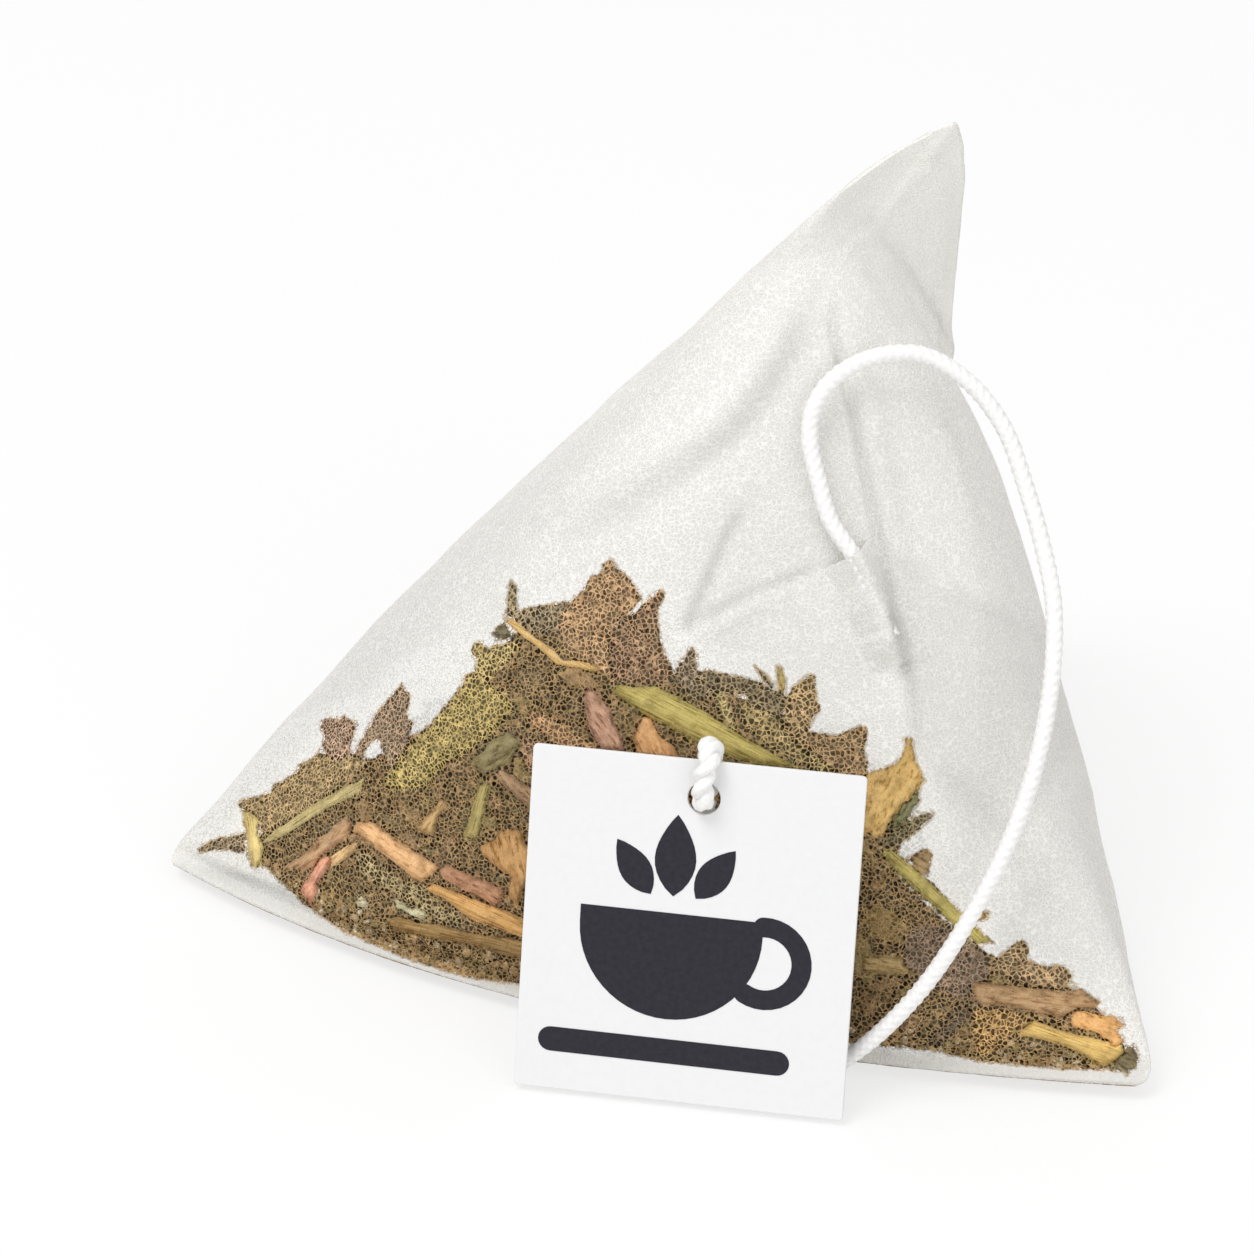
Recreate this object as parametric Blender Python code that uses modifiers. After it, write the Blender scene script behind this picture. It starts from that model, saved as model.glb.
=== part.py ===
"""Pyramid tea bag: a sealed bag of thin cloth standing on one face, with cut herbs, string and card tag.

Metres, +Z up. The front edge of the base, a seal, runs along X, and the tip leans back from it.
The origin is the centre of the bag's footprint on the floor.
"""

import math
import random

import bmesh
import bpy
import numpy as np
from mathutils import Matrix, Vector, noise
from mathutils.bvhtree import BVHTree

MM = 0.001
GAP = 0.3 * MM  # between pieces that touch

# Corners of the bag, before its footprint is centred
BASE_WIDTH = 63.0 * MM  # straight distance between the ends of the base seal
BASE_DEPTH = 45.8 * MM  # from the base seal's chord back to the rear corner
REAR_SHIFT = 10.1 * MM  # rear corner, to the right of the middle
TIP_HEIGHT = 50.7 * MM
TIP_DEPTH = 18.3 * MM  # from the base seal's chord back to the tip
TIP_SHIFT = 11.7 * MM
CORNER_LIFT = 1.0 * MM  # the corners stand this far off the floor

# Cloth
CLOTH = 0.2 * MM
SEAL_BAND = 0.014  # share of the way from seal to seal that is pressed flat at each end
SEAL_OPENING = 0.022  # share over which the cloth then opens
SEAL_CORNER = 0.8 * MM  # rounding of the seals' ends
CORNER_SHARE = 0.032  # share of the way from seal to seal over which that rounding runs
FOLD_SHARPNESS = 6.0  # exponent of the section: 2 is an ellipse, large is a sharp-cornered oblong
FRONT_BULGE = 5.5 * MM
LEFT_BULGE = 5.0 * MM
RIGHT_BULGE = 0.2 * MM
BASE_SAG = 2.5 * MM  # pressed flat by the floor
FRONT_SEAL_BOW = (-2.0, -5.5, 0.0)  # the loaded base seal bows forward, millimetres
REAR_SEAL_BOWS = ((-1.0, 4.0, 4.5), (-10.5, 3.0, 4.0))

# How far each folded edge strays from the straight line between its corners, millimetres, at even steps
LEFT_EDGE_BOWS = ((-3.9, -1.3, -4.1), (-9.3, -5.4, -2.1))
RIGHT_EDGE_BOWS = ((1.9, 2.1, 2.6), (-16.1, -5.6, -3.4), (14.8, 13.8, 11.2), (-22.7, -4.4, 1.7))
BASE_RIGHT_BOWS = ((1.6, 1.0, -1.0), (1.2, 3.2, -0.5))
BASE_LEFT_BOWS = ((-1.4, 0.5, -1.0), (-1.2, 2.3, -0.5))

# Mesh of the cloth
AROUND = 56
NORMAL_STEP = 0.004  # small differences along and around, for the cloth's normals
NORMAL_TURN = 1.5
TINY = 1e-10
ROWS = 30
PORE_SPACING = 4  # cells of the mesh from pore to pore
PORE_SHARE = 0.3  # side of a pore, of its cell
PORE_FREE_ROWS = 2  # rows of cells without pores at each end of the cavity
PRESSED_ROWS = 2  # rows from either seal to where the two layers part
CAVITY_START = 0.022  # share of the way from seal to seal at which the two layers part

# Herbs, which lie against the inside of the cloth
LEAF_THICKNESS = 0.3 * MM
CHIP_THICKNESS = 0.7 * MM
STEM_FLATNESS = 0.7  # thickness of a stem, of its width
STEM_SIDES = 6
STEM_ROWS = 5
STEM_BEND = 0.04  # of its length
STEM_SLANT = 0.4  # of the cut at its ends
STEM_UNEVEN = 0.14
LEAF_COLUMNS = 6
LEAF_CURL = 0.22
LEAF_WOBBLE = 0.14
CHIP_COLUMNS = 4
CHIP_CURL = 0.12
CHIP_WOBBLE = 0.08
DEPTH_STEP = 0.15 * MM
DEEPEST = 12.0 * MM
ROOM_STEP = 0.01  # a piece without room moves up the cloth by this share

# Heap of fines behind them, before its surface gives way to the pieces
HEAP_YAW = math.radians(22.0)  # from X to the run of the crest
HEAP_SLOPE = 0.68  # down and back from the crest
HEAP_CREST = (  # along its run, back from it and up, millimetres
    (-27.0, 11.0, 2.0),
    (-20.0, 10.0, 8.5),
    (-11.0, 7.0, 18.0),
    (-2.0, 3.0, 24.5),
    (3.0, 0.0, 22.0),
    (10.0, -2.0, 20.5),
    (15.0, -3.0, 17.0),
    (20.0, -7.5, 7.5),
    (28.0, -11.0, 2.0),
)
HEAP_HEART = (0.0, 13.0 * MM, 5.5 * MM)
HEAP_INSET = 0.8 * MM  # from the cloth
HEAP_LUMPS = 1.2 * MM
LUMP_SIZE = 4.0 * MM
REACH_STEPS = 60  # along each ray from the heart to the cloth
LEAST_FACING = 0.35  # keeps the inset bounded where a ray grazes the cloth
GIVE_WAY = 0.97

# Tag of card
TAG_WIDTH = 19.2 * MM
TAG_HEIGHT = 20.3 * MM
TAG_THICKNESS = 0.3 * MM
TAG_CORNER = 0.25 * MM
TAG_FOOT = (-2.95 * MM, -12.6 * MM)  # left end of its lower edge
TAG_YAW = math.radians(11.1)
TAG_LEAN = math.radians(19.0)
HOLE_RADIUS = 0.95 * MM
HOLE_DROP = 2.2 * MM  # from the upper edge to the hole's centre
HOLE_SIDE = 0.4 * MM  # right of the middle
HOLE_FACETS = 16
ROUNDING_STEPS = 3  # of each corner

# String: middle line from the weld on the cloth to the knot behind the tag, millimetres
STRING_RADIUS = 0.5 * MM
KNOT_RADIUS = 0.8 * MM
KNOT_SPREAD = 0.7 * MM  # the loop thickens to the knot over this distance
KNOT_POINTS = 20
LOOP_ROUNDING = 0.35 * MM  # of the loop, where it turns into the hole and over the upper edge
STRING_POINTS = 58
CURVE_STEPS = 24  # from one point of the route to the next, before points are set at even distances
STRING_ROUTE = (
    (13.6, 4.2, 24.8),
    (12.4, 4.4, 26.7),
    (11.2, 4.8, 28.9),
    (9.4, 5.1, 31.1),
    (8.4, 5.7, 33.2),
    (7.6, 6.4, 35.3),
    (7.5, 7.1, 36.8),
    (8.2, 8.2, 38.3),
    (9.9, 10.0, 39.2),
    (12.4, 11.6, 39.1),
    (15.0, 12.2, 37.6),
    (17.3, 12.0, 35.2),
    (19.0, 11.0, 32.4),
    (20.6, 9.6, 29.6),
    (22.0, 7.8, 26.8),
    (22.8, 5.4, 23.4),
    (22.9, 3.0, 19.6),
    (22.3, 0.6, 15.6),
    (20.9, -2.0, 11.4),
    (18.8, -4.3, 7.2),
    (16.0, -5.9, 3.6),
    (13.2, -6.9, 1.4),
    (10.4, -7.5, 0.8),
    (7.8, -7.6, 1.5),
    (6.0, -7.0, 3.6),
    (5.2, -6.1, 6.8),
    (5.1, -5.2, 10.2),
    (5.25, -4.6, 12.8),
    (5.35, -4.13, 14.8),
    (5.48, -3.65, 16.5),
)

# Colours
SHEER_WHITE = (0.86, 0.85, 0.83)
COTTON = (0.93, 0.93, 0.93)
CARD = (0.92, 0.92, 0.92)
ORANGE = (0.80, 0.42, 0.17)
OLIVE = (0.34, 0.27, 0.08)
GREEN = (0.30, 0.28, 0.11)
PALE_GREEN = (0.46, 0.42, 0.16)
TAN = (0.46, 0.30, 0.12)
PINKISH = (0.48, 0.26, 0.17)
BROWN = (0.24, 0.14, 0.08)
DARK = (0.10, 0.08, 0.045)
PALE = (0.80, 0.74, 0.50)

# Herbs: name, kind, turn around the bag in degrees, share of the way up, tilt in degrees from level
# as seen from outside, length and width in millimetres, colour. Each lies behind the ones before it.
HERBS = (
    ("orange_stick", "chip", 116, 0.14, -30, 5.5, 1.9, ORANGE),
    ("large_olive_stem", "stem", 120, 0.31, 55, 11.5, 2.8, OLIVE),
    ("long_olive_stem", "stem", 76, 0.33, -20, 12.0, 1.6, OLIVE),
    ("thin_green_stem", "stem", 128, 0.16, 40, 7.5, 0.7, GREEN),
    ("pink_chip", "chip", 124, 0.08, 65, 3.2, 0.8, PINKISH),
    ("brown_chip", "chip", 127, 0.12, 50, 4.6, 1.5, BROWN),
    ("dark_bark_chip", "chip", 106, 0.12, -25, 4.4, 1.3, BROWN),
    ("tan_stem", "stem", 104, 0.09, -20, 6.8, 1.2, TAN),
    ("low_olive_stem", "stem", 106, 0.05, -8, 8.5, 1.4, OLIVE),
    ("green_sprig", "leaf", 113, 0.10, -35, 6.0, 1.5, GREEN),
    ("pale_bit", "chip", 112, 0.07, -15, 2.1, 0.6, PALE),
    ("pointed_leaf", "leaf", 92, 0.42, 75, 6.5, 2.5, BROWN),
    ("brown_leaf_peak", "leaf", 102, 0.43, 82, 8.0, 4.8, BROWN),
    ("bent_tan_twig", "stem", 106, 0.41, -25, 6.2, 0.6, TAN),
    ("dark_broad_leaf", "leaf", 112, 0.43, 15, 5.6, 2.8, DARK),
    ("upright_twig", "stem", 119, 0.45, -75, 2.4, 0.5, OLIVE),
    ("ragged_bits", "leaf", 118, 0.39, 40, 2.7, 1.6, OLIVE),
    ("spiked_leaf", "leaf", 128, 0.28, 60, 5.4, 1.8, BROWN),
    ("lobed_leaf", "leaf", 132, 0.25, 50, 3.0, 2.2, BROWN),
    ("left_leaf", "leaf", 130, 0.19, 45, 5.5, 1.9, BROWN),
    ("olive_stub", "stem", 134, 0.10, -72, 4.0, 1.2, OLIVE),
    ("far_left_sprig", "leaf", 136, 0.06, 15, 3.6, 0.9, DARK),
    ("tan_chip", "chip", 114, 0.18, 55, 2.8, 0.9, TAN),
    ("green_stem_piece", "stem", 110, 0.21, 75, 3.4, 0.8, GREEN),
    ("curled_tan_chip", "chip", 102, 0.16, 75, 3.5, 1.3, TAN),
    ("brown_chip_behind_tag", "chip", 102, 0.26, -75, 3.5, 1.6, BROWN),
    ("brown_leaf_bit", "leaf", 100, 0.32, -20, 4.2, 1.2, BROWN),
    ("pinkish_chip", "chip", 94, 0.33, -60, 3.5, 1.3, PINKISH),
    ("orange_tan_chip", "chip", 86, 0.31, -80, 2.9, 1.7, ORANGE),
    ("small_spike", "leaf", 82, 0.39, 85, 2.4, 1.3, DARK),
    ("yellow_stem_piece", "stem", 74, 0.36, -65, 2.7, 0.5, PALE_GREEN),
    ("ridge_leaf", "leaf", 72, 0.36, -8, 5.5, 2.6, DARK),
    ("dark_leaf_piece", "leaf", 68, 0.34, -45, 4.0, 2.4, DARK),
    ("short_twig", "stem", 70, 0.39, -60, 1.8, 0.5, OLIVE),
    ("peaked_leaf", "leaf", 64, 0.35, 80, 4.8, 2.4, BROWN),
    ("right_ridge_leaf", "leaf", 60, 0.33, 25, 3.0, 2.5, BROWN),
    ("olive_stem_tip", "stem", 64, 0.31, -30, 2.8, 0.8, OLIVE),
    ("tall_tan_leaf", "leaf", 56, 0.28, 68, 6.0, 2.2, TAN),
    ("dark_thin_leaf", "leaf", 56, 0.25, 20, 3.0, 0.9, DARK),
    ("right_green_stem", "stem", 54, 0.18, -42, 8.0, 0.8, GREEN),
    ("small_right_leaf", "leaf", 50, 0.12, 20, 2.6, 1.6, BROWN),
    ("brown_bark", "chip", 48, 0.08, -10, 7.0, 1.8, BROWN),
    ("tan_leaf", "leaf", 43, 0.06, -30, 3.6, 1.4, TAN),
    ("pale_green_stem", "stem", 47, 0.045, -20, 5.2, 1.5, PALE_GREEN),
    ("folded_leaf", "leaf", 53, 0.05, 45, 4.2, 1.6, TAN),
    ("purple_leaf", "leaf", 56, 0.13, -30, 4.5, 2.8, BROWN),
    ("low_leaf", "leaf", 57, 0.07, 10, 4.0, 2.3, BROWN),
    ("back_stem", "stem", 214, 0.40, 10, 9.0, 1.4, OLIVE),
    ("back_leaf", "leaf", 212, 0.55, 20, 6.0, 2.8, BROWN),
    ("back_tan_chip", "chip", 212, 0.22, 10, 5.0, 1.6, TAN),
    ("rear_stem", "stem", 226, 0.52, -20, 7.0, 1.3, OLIVE),
    ("rear_leaf", "leaf", 222, 0.33, 30, 4.5, 2.2, BROWN),
)


def smooth(t):
    t = np.clip(t, 0.0, 1.0)
    return t * t * (3 - 2 * t)


def bag_corners():
    """Left and right ends of the base seal, rear corner and tip."""
    half = BASE_WIDTH / 2
    left = np.array([-half, 0.0, CORNER_LIFT])
    right = np.array([half, 0.0, CORNER_LIFT])
    rear = np.array([REAR_SHIFT, BASE_DEPTH, CORNER_LIFT])
    tip = np.array([TIP_SHIFT, TIP_DEPTH, TIP_HEIGHT])
    return left, right, rear, tip


def folded_edge(start, end, bows, v):
    """Bezier curve from start to end whose inner control points lie off the chord by the given bows."""
    last = len(bows) + 1
    steps = [np.zeros(3), *(np.array(bow) * MM for bow in bows), np.zeros(3)]
    point = 0
    for i, bow in enumerate(steps):
        control = start + (end - start) * i / last + bow
        point = point + (math.comb(last, i) * v**i * (1 - v) ** (last - i))[..., None] * control
    return point


def outward(a, b, c, inside):
    normal = np.cross(b - a, c - a)
    normal /= np.linalg.norm(normal)
    return normal if normal @ (a - inside) > 0 else -normal


def corner_cut(v):
    """How far the rounded ends of a seal draw in: 1 at its very edge, 0 past the rounding."""
    rise = np.clip(1 - v / CORNER_SHARE, 0, 1)
    return 1 - np.sqrt(1 - rise**2)


def cloth_middle(turn, v):
    """Inner face of the cloth. turn: degrees around, 0 right side, 90 front, 180 left, 270 base.
    v: 0 at the base seal, 1 at the rear seal."""
    turn, v = np.broadcast_arrays(np.radians(np.asarray(turn, float)), np.asarray(v, float))
    left, right, rear, tip = bag_corners()
    edges = (
        folded_edge(left, tip, LEFT_EDGE_BOWS, v),
        folded_edge(right, tip, RIGHT_EDGE_BOWS, v),
        folded_edge(right, rear, BASE_RIGHT_BOWS, v),
        folded_edge(left, rear, BASE_LEFT_BOWS, v),
    )
    c, s = np.cos(turn), np.sin(turn)
    radius = (np.abs(c) ** FOLD_SHARPNESS + np.abs(s) ** FOLD_SHARPNESS) ** (-1 / FOLD_SHARPNESS)
    base_open = smooth((v - SEAL_BAND) / SEAL_OPENING)
    rear_open = smooth((1 - v - SEAL_BAND) / SEAL_OPENING)
    width = np.linalg.norm(right - left) / 2
    length = np.linalg.norm(tip - rear) / 2
    x = (c * radius * rear_open * (1 - corner_cut(v) * SEAL_CORNER / width))[..., None]
    y = (s * radius * base_open * (1 - corner_cut(1 - v) * SEAL_CORNER / length))[..., None]
    w = v[..., None]
    point = (
        (1 - x) * (1 + y) * edges[0]
        + (1 + x) * (1 + y) * edges[1]
        + (1 + x) * (1 - y) * edges[2]
        + (1 - x) * (1 - y) * edges[3]
    ) / 4
    point = point + np.array(FRONT_SEAL_BOW) * MM * (1 - x**2) * (1 - w) ** 2
    t = (1 - y) / 2
    near, far = (np.array(bow) * MM for bow in REAR_SEAL_BOWS)
    point = point + (near * 3 * t * (1 - t) ** 2 + far * 3 * t**2 * (1 - t)) * w**2.5
    middle = (left + right + rear + tip) / 4
    full = 4 * w * (1 - w)
    front_face = outward(left, right, tip, middle)
    left_face = outward(left, tip, rear, middle)
    right_face = outward(right, tip, rear, middle)
    point = point + front_face * FRONT_BULGE * (1 - x**2) * (1 + y) / 2 * full
    point = point + left_face * LEFT_BULGE * (1 - y**2) * (1 - x) / 2 * full
    point = point + right_face * RIGHT_BULGE * (1 - y**2) * (1 + x) / 2 * full
    point[..., 2] -= (BASE_SAG * (1 - x**2) * (1 - y) / 2 * full)[..., 0]
    point[..., 2] = np.maximum(point[..., 2], CLOTH)
    return point


def cloth_normal(turn, v):
    """Outward normal of the cloth by small differences; at the ends of the seals, away from the middle."""
    turn, v = np.broadcast_arrays(np.asarray(turn, float), np.asarray(v, float))
    low, high = np.clip(v - NORMAL_STEP, 0, 1), np.clip(v + NORMAL_STEP, 0, 1)
    along = cloth_middle(turn, high) - cloth_middle(turn, low)
    round_it = cloth_middle(turn + NORMAL_TURN, v) - cloth_middle(turn - NORMAL_TURN, v)
    normal = np.cross(along, round_it)
    size = np.linalg.norm(normal, axis=-1, keepdims=True)
    away = cloth_middle(turn, v) - cloth_middle(turn + 180, v)
    away = away / np.maximum(np.linalg.norm(away, axis=-1, keepdims=True), TINY)
    return np.where(size > TINY, normal / np.maximum(size, TINY), away)


def herb_grid(bm, length, width, columns, profile, curl, wobble, rng):
    """Sheet along X whose half width follows profile(0 to 1), cupped and bent by curl."""
    rows = []
    bend = rng.uniform(-curl, curl)
    for i in range(columns + 1):
        t = i / columns
        half = profile(t) * width / 2
        row = []
        for s in (-1, 0, 1):
            ragged = rng.uniform(-wobble, wobble)
            x = (t - 0.5) * length
            if i in (0, columns):
                x += rng.uniform(-wobble, wobble) * width / 2
            y = s * half * (1 + ragged)
            cupped = curl * width * (s * s - 0.5) / 2
            bent = bend * length * (t - 0.5) ** 2 / 3
            row.append(bm.verts.new((x, y, cupped + bent)))
        rows.append(row)
    for low, high in zip(rows, rows[1:]):
        for j in range(len(low) - 1):
            bm.faces.new((low[j], high[j], high[j + 1], low[j + 1]))


def leaf_profile(t):
    return 0.14 + 0.86 * math.sin(math.pi * min(1, t * 0.9 + 0.02)) ** 0.8


def chip_profile(t):
    return 0.8 + 0.2 * math.sin(math.pi * t)


def sheet_piece(name, length, width, form, thickness, rng):
    profile, columns, curl, wobble = form
    bm = bmesh.new()
    herb_grid(bm, length, width, columns, profile, curl, wobble, rng)
    obj = object_from(bm, name)
    shell = obj.modifiers.new("Thickness", "SOLIDIFY")
    shell.thickness = thickness
    shell.offset = 0
    return obj


def stem_piece(name, length, width, rng):
    """Cut stem along X: oval sections of uneven size, slightly bent, with slanted ends."""
    bm = bmesh.new()
    rings = []
    bend = rng.uniform(-STEM_BEND, STEM_BEND) * length
    slants = [0.0] * STEM_ROWS
    slants[0] = rng.uniform(-STEM_SLANT, STEM_SLANT)
    slants[-1] = rng.uniform(-STEM_SLANT, STEM_SLANT)
    for i, slant in enumerate(slants):
        t = i / (STEM_ROWS - 1)
        size = width / 2 * rng.uniform(1 - STEM_UNEVEN, 1)
        ring = []
        for j in range(STEM_SIDES):
            a = 2 * math.pi * (j + 0.5) / STEM_SIDES
            y = size * math.cos(a) * rng.uniform(1 - STEM_UNEVEN / 2, 1)
            z = size * STEM_FLATNESS * math.sin(a) * rng.uniform(1 - STEM_UNEVEN / 2, 1)
            x = (t - 0.5) * length + slant * y
            ring.append(bm.verts.new((x, y + bend * 4 * t * (1 - t), z)))
        rings.append(ring)
    for low, high in zip(rings, rings[1:]):
        for j in range(STEM_SIDES):
            k = (j + 1) % STEM_SIDES
            bm.faces.new((low[j], low[k], high[k], high[j]))
    bm.faces.new(rings[0][::-1])
    bm.faces.new(rings[-1])
    return object_from(bm, name)


def herb_piece(name, kind, length, width):
    rng = random.Random(name)
    if kind == "stem":
        return stem_piece(name, length, width, rng)
    if kind == "leaf":
        form = (leaf_profile, LEAF_COLUMNS, LEAF_CURL, LEAF_WOBBLE)
        return sheet_piece(name, length, width, form, LEAF_THICKNESS, rng)
    form = (chip_profile, CHIP_COLUMNS, CHIP_CURL, CHIP_WOBBLE)
    return sheet_piece(name, length, width, form, CHIP_THICKNESS, rng)


def object_from(bm, name):
    bmesh.ops.recalc_face_normals(bm, faces=bm.faces)
    mesh = bpy.data.meshes.new(name)
    bm.to_mesh(mesh)
    bm.free()
    obj = bpy.data.objects.new(name, mesh)
    PARTS.objects.link(obj)
    return obj


def painted(obj, colour, roughness):
    material = bpy.data.materials.new(obj.name)
    material.use_nodes = True
    shader = material.node_tree.nodes["Principled BSDF"]
    shader.inputs["Base Color"].default_value = (*colour, 1)
    shader.inputs["Roughness"].default_value = roughness
    obj.data.materials.append(material)
    return obj


def cloth_rows():
    """Shares of the way from seal to seal: the flat bands, where the layers part, then even steps."""
    ends = [0.0, SEAL_BAND, CAVITY_START, CAVITY_START * 1.8]
    middle = list(np.linspace(CAVITY_START * 3, 1 - CAVITY_START * 3, ROWS - 2 * len(ends)))
    return np.array(ends + middle + [1 - v for v in reversed(ends)])


def seal_directions(turns, v, seal_turn):
    """Outward directions on a pressed seal: across its two faces, and fanned round at its ends."""
    face = cloth_normal(seal_turn, v)
    one_end, other_end = cloth_middle(seal_turn - 90, v), cloth_middle(seal_turn + 90, v)
    lengthwise = one_end - other_end
    lengthwise /= np.linalg.norm(lengthwise)
    around = turns - seal_turn  # 0 in the middle of one face, 180 in the middle of the other
    towards = np.cos(np.radians(around)) > 0
    off_end = (around + 45) % 180 - 45  # within 45 of 0 on a face, beyond it round an end
    fan = np.where(off_end > 45, off_end - 90, 0.0)
    side = np.where(np.sin(np.radians(around)) > 0, -1.0, 1.0)
    directions = []
    for offset, on_face, is_near, sign in zip(fan, off_end <= 45, towards, side):
        if on_face:
            directions.append(face if is_near else -face)
        else:
            angle = math.radians(2 * offset) * sign
            directions.append(lengthwise * sign * math.cos(angle) + face * math.sin(angle))
    return np.array(directions)


def cloth_grids():
    """Outer and inner points of the cloth, rows by turns."""
    turns = np.linspace(0, 360, AROUND, endpoint=False)
    shares = cloth_rows()
    v, turn = np.meshgrid(shares, turns, indexing="ij")
    inner = cloth_middle(turn, v)
    directions = cloth_normal(turn, v)
    for i, share in enumerate(shares):
        if share <= SEAL_BAND:
            directions[i] = seal_directions(turns, share, 90.0)
        if share >= 1 - SEAL_BAND:
            directions[i] = seal_directions(turns, share, 0.0)
    outer = inner + directions * CLOTH
    flat = inner[..., 2] <= CLOTH * 1.0001
    outer[..., 2] = np.where(flat, 0.0, np.maximum(outer[..., 2], 0.0))
    return outer, inner


def pore_here(row, column):
    shift = PORE_SPACING // 2 * (row // PORE_SPACING % 2)
    return row % PORE_SPACING == 2 and (column + shift) % PORE_SPACING == 0


def cut_pore(bm, outside, inside):
    """Square hole through one cell of the cloth."""
    rims = []
    for cell in (outside, inside):
        middle = sum((corner.co for corner in cell), Vector()) / 4
        rim = [bm.verts.new(middle.lerp(corner.co, PORE_SHARE)) for corner in cell]
        for a in range(4):
            b = (a + 1) % 4
            bm.faces.new((cell[a], cell[b], rim[b], rim[a]))
        rims.append(rim)
    for a in range(4):
        b = (a + 1) % 4
        bm.faces.new((rims[0][a], rims[0][b], rims[1][b], rims[1][a]))


def close_slot(bm, ring, end):
    """Fills a thin ring across, between points mirrored about the point at one of its ends."""
    count = len(ring)
    for k in range(count // 2):
        corners = [ring[(end + k) % count], ring[(end + k + 1) % count]]
        corners += [ring[(end - k - 1) % count], ring[(end - k) % count]]
        bm.faces.new(list(dict.fromkeys(corners)))


def make_bag():
    """Closed shell: outer skin, inner skin from where the layers part, and pores through both."""
    outer, inner = cloth_grids()
    first, last = PRESSED_ROWS, len(outer) - 1 - PRESSED_ROWS
    bm = bmesh.new()
    skin = [[bm.verts.new(point) for point in row] for row in outer]
    lining = [[bm.verts.new(point) for point in row] for row in inner[first : last + 1]]
    for i in range(len(skin) - 1):
        for j in range(AROUND):
            k = (j + 1) % AROUND
            outside = (skin[i][j], skin[i][k], skin[i + 1][k], skin[i + 1][j])
            if not first <= i < last:
                bm.faces.new(outside)
                continue
            low, high = lining[i - first], lining[i - first + 1]
            inside = (low[j], low[k], high[k], high[j])
            if first + PORE_FREE_ROWS < i < last - PORE_FREE_ROWS and pore_here(i, j):
                cut_pore(bm, outside, inside)
            else:
                bm.faces.new(outside)
                bm.faces.new(inside)
    quarter = AROUND // 4
    for ring in (skin[0], lining[0]):
        close_slot(bm, ring, 0)
    for ring in (skin[-1], lining[-1]):
        close_slot(bm, ring, quarter)
    return painted(object_from(bm, "bag"), SHEER_WHITE, 0.8)


def lining_tree():
    """The inside of the cloth, to lay the herbs against."""
    _, inner = cloth_grids()
    rows = len(inner)
    points = [tuple(point) for row in inner for point in row]
    faces = []
    for i in range(rows - 1):
        for j in range(AROUND):
            k = (j + 1) % AROUND
            faces.append((i * AROUND + j, i * AROUND + k, (i + 1) * AROUND + k, (i + 1) * AROUND + j))
    return BVHTree.FromPolygons(points, faces)


def evaluated_shape(obj):
    """Points, outward normals and faces of an object with its modifiers."""
    mesh = obj.evaluated_get(bpy.context.evaluated_depsgraph_get()).to_mesh()
    points = np.array([vert.co for vert in mesh.vertices])
    normals = np.array([vert.normal for vert in mesh.vertices])
    faces = [tuple(polygon.vertices) for polygon in mesh.polygons]
    return points, normals, faces


def tree_of(points, faces, place):
    turned = points @ np.array(place.to_3x3()).T + np.array(place.translation)
    return BVHTree.FromPolygons([tuple(point) for point in turned], faces)


def place_on_cloth(turn, v, tilt, depth):
    """Frame at a depth behind the cloth: X along the tilt, Y across it, Z outward."""
    normal = Vector(cloth_normal(turn, v))
    level = Vector((0, 0, 1)).cross(normal).normalized()
    rise = normal.cross(level)
    along = level * math.cos(tilt) + rise * math.sin(tilt)
    across = normal.cross(along)
    spot = Vector(cloth_middle(turn, v)) - normal * depth
    axes = Matrix((along, across, normal)).transposed().to_4x4()
    return Matrix.Translation(spot) @ axes


def room_behind(turn, v, lining):
    """Distance from the cloth straight in to its far side."""
    normal = Vector(cloth_normal(turn, v))
    start = Vector(cloth_middle(turn, v)) - normal * GAP
    distance = lining.ray_cast(start, -normal)[3]
    return distance or 0.0


def settle(shape, turn, v, tilt, lining, laid):
    """Deepens a piece until it clears the cloth and the pieces before it, then tries higher up."""
    points, normals, faces = shape
    swollen = points + normals * GAP
    half = np.ptp(points[:, 2]) / 2
    while v < 1:
        depth = half + GAP
        deepest = min(DEEPEST, room_behind(turn, v, lining))
        while depth < deepest:
            place = place_on_cloth(turn, v, tilt, depth)
            trees = tree_of(swollen, faces, place), tree_of(points, faces, place)
            if not any(tree.overlap(other) for tree in trees for other in (lining, *laid)):
                return place
            depth += DEPTH_STEP
        v += ROOM_STEP
    raise ValueError("no room in the bag for a piece")


def make_herbs(lining):
    """Every herb piece in turn, each behind the ones before it."""
    laid, pieces = [], []
    for name, kind, turn, v, tilt, length, width, colour in HERBS:
        piece = painted(herb_piece(name, kind, length * MM, width * MM), colour, 0.85)
        bpy.context.view_layer.update()
        shape = evaluated_shape(piece)
        place = settle(shape, turn, v, math.radians(tilt), lining, laid)
        piece.matrix_world = place
        laid.append(tree_of(shape[0], shape[2], place))
        pieces.append(piece)
    return pieces, laid


def heap_top(x, y):
    """Height of the heap, which lies against the front of the bag and falls off behind its crest."""
    run = x * math.cos(HEAP_YAW) + y * math.sin(HEAP_YAW)
    back = y * math.cos(HEAP_YAW) - x * math.sin(HEAP_YAW)
    runs, backs, heights = np.array(HEAP_CREST).T * MM
    behind = max(0.0, back - np.interp(run, runs, backs))
    return np.interp(run, runs, heights) - HEAP_SLOPE * behind


def heap_reach(heart, direction, lining):
    """Distance from the heart to the cloth or to the top of the heap, whichever is nearer."""
    _, normal, _, distance = lining.ray_cast(heart, direction)
    facing = max(LEAST_FACING, abs(direction.dot(normal)))
    reach = distance - HEAP_INSET / facing
    for i in range(1, REACH_STEPS + 1):
        spot = heart + direction * (reach * i / REACH_STEPS)
        if spot.z > heap_top(spot.x, spot.y):
            return reach * (i - 1) / REACH_STEPS
    return reach


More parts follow.
